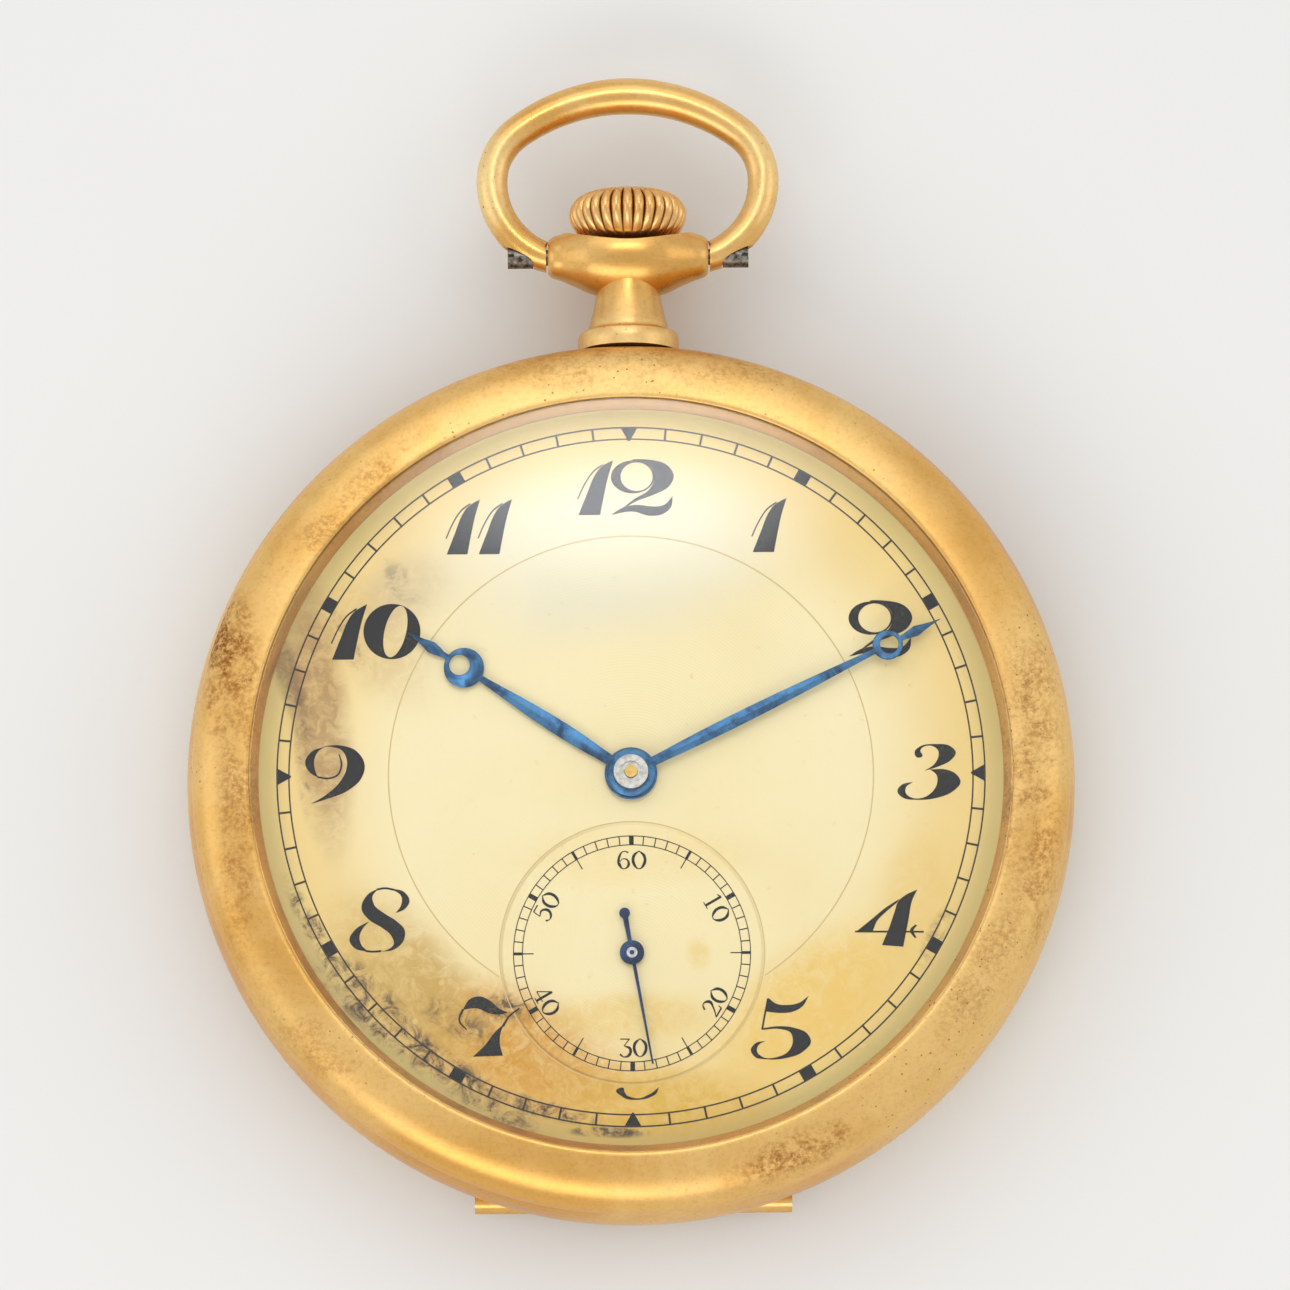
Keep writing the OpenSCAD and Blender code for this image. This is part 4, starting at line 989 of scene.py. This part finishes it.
def bladePoints(v):
    # places along the hand and its half width there, for the shaft and for the tip
    hub, ring, at = v["hub"], v["ring"], v["ringAt"]
    stations = []
    shaftEnd = at - math.sqrt(ring ** 2 - (v["narrow"] / 2) ** 2)
    shaftStart = math.sqrt(hub ** 2 - 0.3 ** 2)  # where the shaft comes out of the hub's circle
    for i in range(15):
        t = i / 14
        y = shaftStart + (shaftEnd - shaftStart) * t
        swell = math.sin(math.pi * min(1, max(0, (t + 0.12) / 1.12)) ** 0.85) ** 1.1
        stations.append((y, v["narrow"] / 2 + (v["wide"] - v["narrow"]) / 2 * swell))
    tipStart = at + math.sqrt(ring ** 2 - 0.28 ** 2)
    tip = []
    for t, w in ((0, 0.16), (0.12, 0.17), (0.26, v["spade"] * 0.8), (0.4, v["spade"]),
                 (0.62, v["spade"] * 0.55), (0.85, v["spade"] * 0.2), (1, 0.02)):
        tip.append((tipStart + (v["length"] - tipStart) * t, w))
    return stations, tip


def makeHand(name, v, turn):
    verts, faces = [], []

    def add(points):
        start = len(verts)
        verts.extend(points)
        return range(start, len(verts))

    def blade(line):
        # a bar with a ridge along its middle
        rows = []
        for y, w in line:
            rows.append(add([(-w, y, v["z"]), (w, y, v["z"]), (w, y, v["z"] + v["edge"]),
                             (0, y, v["z"] + v["ridge"]), (-w, y, v["z"] + v["edge"])]))
        for a, b in zip(rows, rows[1:]):
            joinRings(faces, a, b)
        faces.append(list(rows[0])[::-1])
        faces.append(list(rows[-1]))

    def ringPart(cy, outer, inner, holeAt, steps=64):
        # a ring whose hole may stand off its middle
        low, high = v["z"], v["z"] + v["ridge"] * 0.8
        rows = []
        for i in range(steps):
            a = 2 * math.pi * i / steps
            o = (outer * math.cos(a), cy + outer * math.sin(a))
            n = (inner * math.cos(a), cy + holeAt + inner * math.sin(a))
            e = [o[k] * 0.86 + n[k] * 0.14 for k in (0, 1)]
            f = [o[k] * 0.14 + n[k] * 0.86 for k in (0, 1)]
            rows.append(add([(*o, low), (*o, high - 0.05), (*e, high), (*f, high),
                             (*n, high - 0.04), (*n, low)]))
        for i in range(steps):
            a, b = rows[i], rows[(i + 1) % steps]
            for k in range(6):
                faces.append([a[k], b[k], b[(k + 1) % 6], a[(k + 1) % 6]])

    shaft, tip = bladePoints(v)
    blade([(v["hub"] - 0.12, shaft[0][1] * 1.1)] + shaft[1:-1]
          + [(v["ringAt"] - v["ring"] + 0.06, v["narrow"] / 2)])
    blade([(v["ringAt"] + v["ring"] - 0.1, tip[0][1])] + tip[1:])
    ringPart(v["ringAt"], v["ring"], v["hole"], v["holeAt"])
    ringPart(0, v["hub"], v["hubHole"], 0)
    placed = []
    for x, y, z in verts:
        p = turned((x, y), turn)
        placed.append((p[0], p[1], z))
    return addMesh(name, placed, faces, 25)


def blueMaterial(name, dark, bright, rough=0.3):
    # heat-blued steel with rubbed paler places
    material, tree, shader = newMaterial(name, 1.0)
    point = objectPoint(tree)
    patch = noise(tree, point, 700, 5, 0.65, 0.5)
    grain = noise(tree, point, 6000, 3, 0.7)
    colour = mixColour(tree, rampTo(tree, patch, 0.35, 0.65), dark, bright)
    colour = mixColour(tree, rampTo(tree, grain, 0.62, 0.75, 0, 0.6), colour, rgb(150, 170, 190))
    feed(tree, shader, {
        "Base Color": colour, "Roughness": rampTo(tree, grain, 0.3, 0.7, rough, rough + 0.2),
        "Normal": bump(tree, grain, 0.3, 0.00001)})
    return material


blued = blueMaterial("bluedSteel", rgb(24, 60, 98), rgb(74, 132, 180))
hourHand = makeHand("hourHandBlade", handShape["hour"], watch["hourTime"])
minuteHand = makeHand("minuteHandBlade", handShape["minute"], watch["minuteTime"])
for obj, body, replaced in ((hourHand, "hour_hand", "hour_hand"),
                            (minuteHand, "minute_hand", "minute_hand")):
    obj.data.materials.append(blued)
    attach(obj, body)
    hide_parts(replaced)

secondsShape = {
    "z": 7.42, "thick": 0.1, "length": 6.35, "tail": 2.25, "hub": 0.68, "ball": 0.3,
    "cap": (0.30, 0.14), "capHeights": (7.50, 7.555),
}


def makeSeconds():
    v = secondsShape
    c = (0, watch["secondsY"])

    def put(points):
        out = []
        for p in points:
            q = turned(p, watch["secondTime"])
            out.append((c[0] + q[0], c[1] + q[1]))
        return out

    low, high = v["z"], v["z"] + v["thick"]
    needle = [(-0.10, 0.4), (0.10, 0.4), (0.05, v["length"]), (-0.05, v["length"])]
    tail = [(-0.16, -v["tail"]), (0.16, -v["tail"]), (0.10, -0.4), (-0.10, -0.4)]
    return [(put(needle), [], low, high), (put(tail), [], low, high),
            (put(circlePoints((0, -v["tail"]), v["ball"], 32)), [], low, high + 0.01),
            (put(circlePoints((0, 0), v["hub"], 64)), [], low, high + 0.02)]


secondsHand = addPlates("secondsHandBlade", makeSeconds(), 0, 0, 25)
secondsHand.data.materials.append(blueMaterial("darkBlued", rgb(20, 34, 62), rgb(46, 70, 110)))
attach(secondsHand, "fourth_wheel")
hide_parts("seconds_hand")

steelCap = plainMetal("capSteel", rgb(206, 204, 198), rgb(168, 164, 154), 0.32, 4000)
v = secondsShape
hubRing = addPlates("secondsHubRing", [ringShape((0, watch["secondsY"]), *v["cap"], 48)],
                    *v["capHeights"], 30)
hubRing.data.materials.append(steelCap)
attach(hubRing, "fourth_wheel")
print("hands done")

# bow

bowShape = {
    "endX": 4.67, "lean": 24.0, "straight": 0.3, "halfWidth": 7.74, "rise": 9.42, "turn": 53.0,
    "wireEnd": 0.875, "wireSide": 0.885, "wireTop": 1.04, "topShare": 0.55, "around": 40,
    "holes": [(5.35, 9.0, 0.7), (-9.0, -5.35, 0.7), (4.0, 5.6, 0.5), (-5.6, -4.0, 0.5)],
}


def bowLine():
    # middle line of the wire: a straight end and three arcs, and the same mirrored
    v = bowShape
    lean = math.radians(v["lean"])
    x0 = v["endX"] + v["straight"] * math.cos(lean)
    y0 = v["straight"] * math.sin(lean)
    r1 = (v["halfWidth"] - x0) / (1 - math.sin(lean))
    sideY = y0 + r1 * math.cos(lean)
    b = v["rise"] - sideY
    turn = math.radians(v["turn"])
    d = (v["halfWidth"] - b) / (math.cos(turn) + math.sin(turn) - 1)
    r2 = b - d * (1 - math.sin(turn))
    r3 = r2 + d
    line = [(v["endX"], 0.0), (x0, y0)]
    for i in range(1, 13):
        a = math.radians(v["lean"] - 90) * (1 - i / 12)
        line.append((v["halfWidth"] - r1 + r1 * math.cos(a), sideY + r1 * math.sin(a)))
    for i in range(1, 15):
        a = turn * i / 14
        line.append((v["halfWidth"] - r2 + r2 * math.cos(a), sideY + r2 * math.sin(a)))
    for i in range(1, 17):
        a = turn + (math.pi / 2 - turn) * i / 16
        line.append((r3 * math.cos(a), v["rise"] - r3 + r3 * math.sin(a)))
    return line + [(-x, y) for x, y in line[-2::-1]]


def makeBow():
    v = bowShape
    line = bowLine()
    total = [0.0]
    for a, b in zip(line, line[1:]):
        total.append(total[-1] + math.dist(a, b))
    verts, faces, n = [], [], v["around"]
    for i, p in enumerate(line):
        a, b = line[max(i - 1, 0)], line[min(i + 1, len(line) - 1)]
        d = math.dist(a, b)
        across = ((b[1] - a[1]) / d, -(b[0] - a[0]) / d)
        s = abs(total[i] / total[-1] - 0.5) * 2  # 0 at the top of the bow, 1 at its ends
        share = v["topShare"]
        if s < share:
            w = v["wireTop"] + (v["wireSide"] - v["wireTop"]) * (s / share) ** 1.4
        else:
            w = v["wireSide"] + (v["wireEnd"] - v["wireSide"]) * (s - share) / (1 - share)
        if i in (0, len(line) - 1):
            across = (0, -1)  # flat end face
            w *= 0.98
        for k in range(n):
            t = 2 * math.pi * k / n
            verts.append((p[0] + across[0] * w * math.cos(t),
                          watch["pivot"] + p[1] + across[1] * w * math.cos(t),
                          watch["stem"] + w * math.sin(t)))
    rings = [range(i * n, (i + 1) * n) for i in range(len(line))]
    for a, b in zip(rings, rings[1:]):
        joinRings(faces, a, b)
    faces.append(list(rings[0])[::-1])
    faces.append(list(rings[-1]))
    return addMesh("bowWire", verts, faces, 40)


def cutHoles(obj, name, holes, steps=40):
    # cuts round holes along the bow's pivot out of a piece: (x0, x1, radius)
    verts, faces = [], []
    for x0, x1, r in holes:
        ends = []
        for x in (x0, x1):
            ends.append(range(len(verts), len(verts) + steps))
            for k in range(steps):
                t = 2 * math.pi * k / steps
                verts.append((x, watch["pivot"] + r * math.cos(t), watch["stem"] + r * math.sin(t)))
        joinRings(faces, *ends)
        faces.append(list(ends[0])[::-1])
        faces.append(list(ends[1]))
    carve(obj, addMesh(name, verts, faces), "DIFFERENCE")
    obj.data.set_sharp_from_angle(angle=math.radians(40))


bow = makeBow()
cutHoles(bow, "bowCutter", bowShape["holes"])
bow.data.materials.append(brightGold)
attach(bow, "bow")
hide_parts("bow")
print("bow done")

# crown

crownShape = {
    "low": 31.1, "ribs": 30, "depth": 0.289, "ribStart": (0.35, 0.6), "ribEdge": (1.9, 0.7),
    "topDip": 0.18,
    "profile": [(0, -0.3), (1.5, -0.12), (2.3, 0.2), (2.72, 0.5), (3.0, 0.8), (3.2, 1.12),
                (3.31, 1.4), (3.35, 1.62), (3.33, 1.9), (3.23, 2.2), (3.06, 2.46), (2.8, 2.68),
                (2.5, 2.83), (2.1, 2.95), (1.4, 3.06), (0.7, 3.11), (0, 3.12)],
}


def makeCrown():
    # a lathe whose wall dips between the ribs
    v = crownShape
    steps = v["ribs"] * 12
    verts, faces, index = [], [], {}
    count = len(v["profile"])
    (startH, riseH), (startR, riseR) = v["ribStart"], v["ribEdge"]
    for j, (r, h) in enumerate(v["profile"]):
        for i in range(steps):
            if r == 0 and i:
                index[i, j] = index[0, j]
                continue
            a = 2 * math.pi * i / steps
            wave = abs(math.sin(v["ribs"] * a / 2))
            groove = 1 - wave ** 0.75
            strength = min(1, max(0, (h - startH) / riseH)) * min(1, max(0, (r - startR) / riseR))
            rr = r - v["depth"] * groove * strength
            lower = v["topDip"] * groove * strength if h > 2.4 else 0
            index[i, j] = len(verts)
            verts.append((rr * math.cos(a), v["low"] + h - lower, watch["stem"] + rr * math.sin(a)))
    for j in range(count - 1):
        for i in range(steps):
            k = (i + 1) % steps
            addFace(faces, [index[i, j], index[k, j], index[k, j + 1], index[i, j + 1]])
    return addMesh("crownRibs", verts, faces, 60)


def crownMaterial():
    material, tree, shader = newMaterial("crownGold", 1.0)
    worn = wornSurface(tree, rgb(236, 182, 108), rgb(252, 226, 170), rgb(110, 54, 16), 0.0)
    moved = mapped(tree, objectPoint(tree), Location=(0, 0, -watch["stem"] * mm))
    parts = node(tree, "ShaderNodeSeparateXYZ", inputs={0: moved}).outputs
    angle = math2(tree, "ARCTAN2", parts[2], parts[0])
    wave = math2(tree, "SINE", times(tree, angle, crownShape["ribs"] / 2))
    groove = rampTo(tree, math2(tree, "ABSOLUTE", wave), 0.42, 0.12)
    radius = math2(tree, "SQRT", plus(tree, math2(tree, "POWER", parts[2], 2.0),
                                      math2(tree, "POWER", parts[0], 2.0)))
    groove = times(tree, groove, rampTo(tree, radius, 0.0018, 0.0026))
    feed(tree, shader, {
        "Base Color": mixColour(tree, times(tree, groove, 0.9), worn["Color"], rgb(98, 50, 18)),
        "Roughness": plus(tree, worn["Roughness"], times(tree, groove, 0.3)),
        "Normal": bump(tree, worn["Height"], 0.2, 0.00002)})
    return material


crown = makeCrown()
crown.data.materials.append(crownMaterial())
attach(crown, "stem")
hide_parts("crown")
print("crown done")

# pendant

pendantShape = {
    "neck": [(0, 24.82, sharp), (2.83, 24.82, sharp), (2.83, 25.68), (2.76, 25.84), (2.5, 25.92),
             (2.32, 26.02), (2.22, 26.4), (2.0, 27.2), (1.86, 28.0), (1.76, 28.8),
             (1.74, 29.6, sharp), (0, 29.6, sharp)],
    "head": [(0, -4.56, sharp), (0.94, -4.56, sharp), (1.06, -4.46), (1.36, -3.75), (1.68, -3.02),
             (2.04, -2.24), (2.28, -1.3), (2.36, 0), (2.28, 1.3), (2.04, 2.24), (1.68, 3.02),
             (1.36, 3.75), (1.06, 4.46), (0.94, 4.56, sharp), (0, 4.56, sharp)],
    "seat": (36.5, 6.0),
}


def alongX(p):
    # turns a lathe about Z into one about the bow's pivot
    return (p[2], watch["pivot"] + p[0], watch["stem"] + p[1])


def makePendant():
    # round head on a neck, with a hollow where the crown sits
    v = pendantShape
    head = lathe("pendantHead", smoothCurve(v["head"], True, 5), 96, 40, alongX)
    carve(head, lathe("pendantNeck", smoothCurve(v["neck"], True, 5), 96, 40, alongY), "UNION")
    middle, r = v["seat"]
    ball = [(r * math.sin(math.pi * i / 48), -r * math.cos(math.pi * i / 48)) for i in range(49)]
    ball[0], ball[-1] = (0, -r), (0, r)
    seat = lathe("crownSeat", ball, 128, None, lambda p: (
        p[0], middle + p[2], watch["stem"] + p[1]))
    carve(head, seat, "DIFFERENCE")
    head.data.set_sharp_from_angle(angle=math.radians(32))
    return head


pendantGold = goldMaterial("pendantGold", rgb(226, 172, 92), rgb(246, 210, 144),
                           rgb(128, 72, 26), 0.3, 0.3)
pendant = makePendant()
pendant.data.materials.append(pendantGold)
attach(pendant, "case")
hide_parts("pendant")
print("pendant done")

# materials of the carried-over parts

plainSteel = plainMetal("polishedSteel", rgb(188, 188, 186), rgb(150, 150, 150), 0.25, 2500,
                        (1, 12, 1))
darkSteel = plainMetal("springSteel", rgb(120, 122, 128), rgb(86, 90, 98), 0.35, 2500,
                       (1, 1, 12))
screwSteel = plainMetal("screwSteel", rgb(146, 140, 130), rgb(66, 58, 48), 0.4, 3500)
giltPlate = plainMetal("giltPlates", rgb(214, 178, 104), rgb(196, 158, 84), 0.38, 1800)
wheelBrass = plainMetal("wheelBrass", rgb(222, 184, 104), rgb(204, 162, 78), 0.28, 2600)
lidGold = goldMaterial("lidGold", rgb(228, 178, 100), rgb(244, 210, 146), rgb(142, 90, 38),
                       0.3, 0.15)
boltBlue = blueMaterial("screwBlue", rgb(20, 46, 110), rgb(50, 90, 170), 0.25)


def rubyMaterial():
    material, tree, shader = newMaterial("rubyStone")
    cloud = noise(tree, objectPoint(tree), 3000, 3, 0.6)
    feed(tree, shader, {
        "Base Color": mixColour(tree, cloud, rgb(150, 14, 38), rgb(205, 40, 70)),
        "Roughness": rampTo(tree, cloud, 0.3, 0.7, 0.08, 0.2)})
    return material


slotMaterials = {
    "case_gold": rimGold, "lid_gold": lidGold, "bow_gold": brightGold, "crown_gold": brightGold,
    "screw_steel": screwSteel, "gilt_plates": giltPlate, "brass_wheels": wheelBrass,
    "polished_steel": plainSteel, "spring_steel": darkSteel, "blued_steel": boltBlue,
    "balance_gilt": wheelBrass, "ruby": rubyMaterial(), "hand_cap": steelCap,
    "blued_hands": blued, "dial_face": inkDark, "crystal": inkDark,
}
slotOf = {part["node"]: part["material_slot"] for part in frame["record"]["subparts"]}
special = {"pendant": pendantGold, "mid_case": rimGold}
for name, obj in frame["nodes"].items():
    obj.data.materials.clear()
    obj.data.materials.append(special.get(name, slotMaterials[slotOf[name]]))
    if not obj.hide_render:
        for polygon in obj.data.polygons:
            polygon.use_smooth = True
        obj.data.set_sharp_from_angle(angle=math.radians(38))
print("materials done")

# stage, light and camera

stageShape = {"floor": 3.0, "lightWorld": 0.76, "centre": (0, 0.005, 0.005)}


def makeFloor():
    half = stageShape["floor"] / 2
    floor = addSheet("floor", half, half)
    material, tree, shader = newMaterial("paleTable")
    soft = noise(tree, objectPoint(tree), 30, 3, 0.5)
    feed(tree, shader, {
        "Base Color": mixColour(tree, soft, rgb(238, 238, 236), rgb(243, 243, 241)),
        "Roughness": 0.7})
    floor.data.materials.append(material)


makeFloor()


def aimAtWatch(obj, place):
    obj.location = place
    direction = Vector(stageShape["centre"]) - Vector(place)
    obj.rotation_euler = direction.to_track_quat("-Z", "Y").to_euler()


def addLight(name, place, size, power):
    data = bpy.data.lights.new(name, "AREA")
    data.shape = "RECTANGLE"
    data.size, data.size_y = size
    data.energy = power
    light = bpy.data.objects.new(name, data)
    bpy.context.scene.collection.objects.link(light)
    aimAtWatch(light, place)


# soft lights: place, size and power
lights = {
    "topSoft": ((-0.10, 0.55, 0.55), (0.8, 0.35), 0.55),
    "leftSoft": ((-0.62, 0.02, 0.34), (0.4, 0.5), 0.35),
    "rightSoft": ((0.62, 0.10, 0.40), (0.4, 0.5), 0.35),
    "lowSoft": ((-0.16, -0.55, 0.45), (0.7, 0.3), 1.1),
}
for name, (place, size, power) in lights.items():
    addLight(name, place, size, power)

# pale card above the watch, brightest in its middle, that the glass mirrors near twelve o'clock
glare = {"place": (-0.01, 0.288, 0.65), "size": (0.36, 0.17), "brightness": 10.0,
         "colour": (0.93, 0.96, 1.0)}


def makeGlareCard():
    v = glare
    w, h = v["size"][0] / 2, v["size"][1] / 2
    card = addSheet("glareCard", w, h)
    aimAtWatch(card, v["place"])
    material, tree, shader = newMaterial("glareGlow")
    far = lengthOf(tree, mapped(tree, objectPoint(tree), Scale=(1 / w, 1 / h, 1)))
    feed(tree, shader, {
        "Alpha": rampTo(tree, far, 1.0, 0.1), "Base Color": (0, 0, 0, 1),
        "Emission Color": v["colour"] + (1,), "Emission Strength": v["brightness"]})
    card.data.materials.append(material)
    card.visible_camera = False
    card.visible_diffuse = False
    card.visible_shadow = False


makeGlareCard()

world = bpy.data.worlds.new("studio")
bpy.context.scene.world = world
world.use_nodes = True
feed(world.node_tree, world.node_tree.nodes["Background"],
     {"Color": (1, 1, 1, 1), "Strength": stageShape["lightWorld"]})

# where the camera looks, how far away it stands and how wide it sees there, in mm and degrees
cameraShape = {"aim": (0.83, 7.4, 7.3), "tilt": 10.0, "roll": -0.35, "far": 500.0,
               "width": 72.5, "sensor": 36}
v = cameraShape
camData = bpy.data.cameras.new("camera")
camera = bpy.data.objects.new("camera", camData)
bpy.context.scene.collection.objects.link(camera)
camData.sensor_width = v["sensor"]
camData.lens = v["sensor"] * v["far"] / v["width"]
camData.clip_start, camData.clip_end = 0.01, 10
tilt = math.radians(v["tilt"])
aim = Vector(v["aim"]) * mm
back = Vector((0, -math.sin(tilt), math.cos(tilt)))
camera.location = aim + back * v["far"] * mm
turn = Euler((tilt, 0, 0)).to_quaternion() @ Euler((0, 0, math.radians(v["roll"]))).to_quaternion()
camera.rotation_mode = "QUATERNION"
camera.rotation_quaternion = turn
bpy.context.scene.camera = camera

bpy.context.scene.view_settings.view_transform = "Standard"
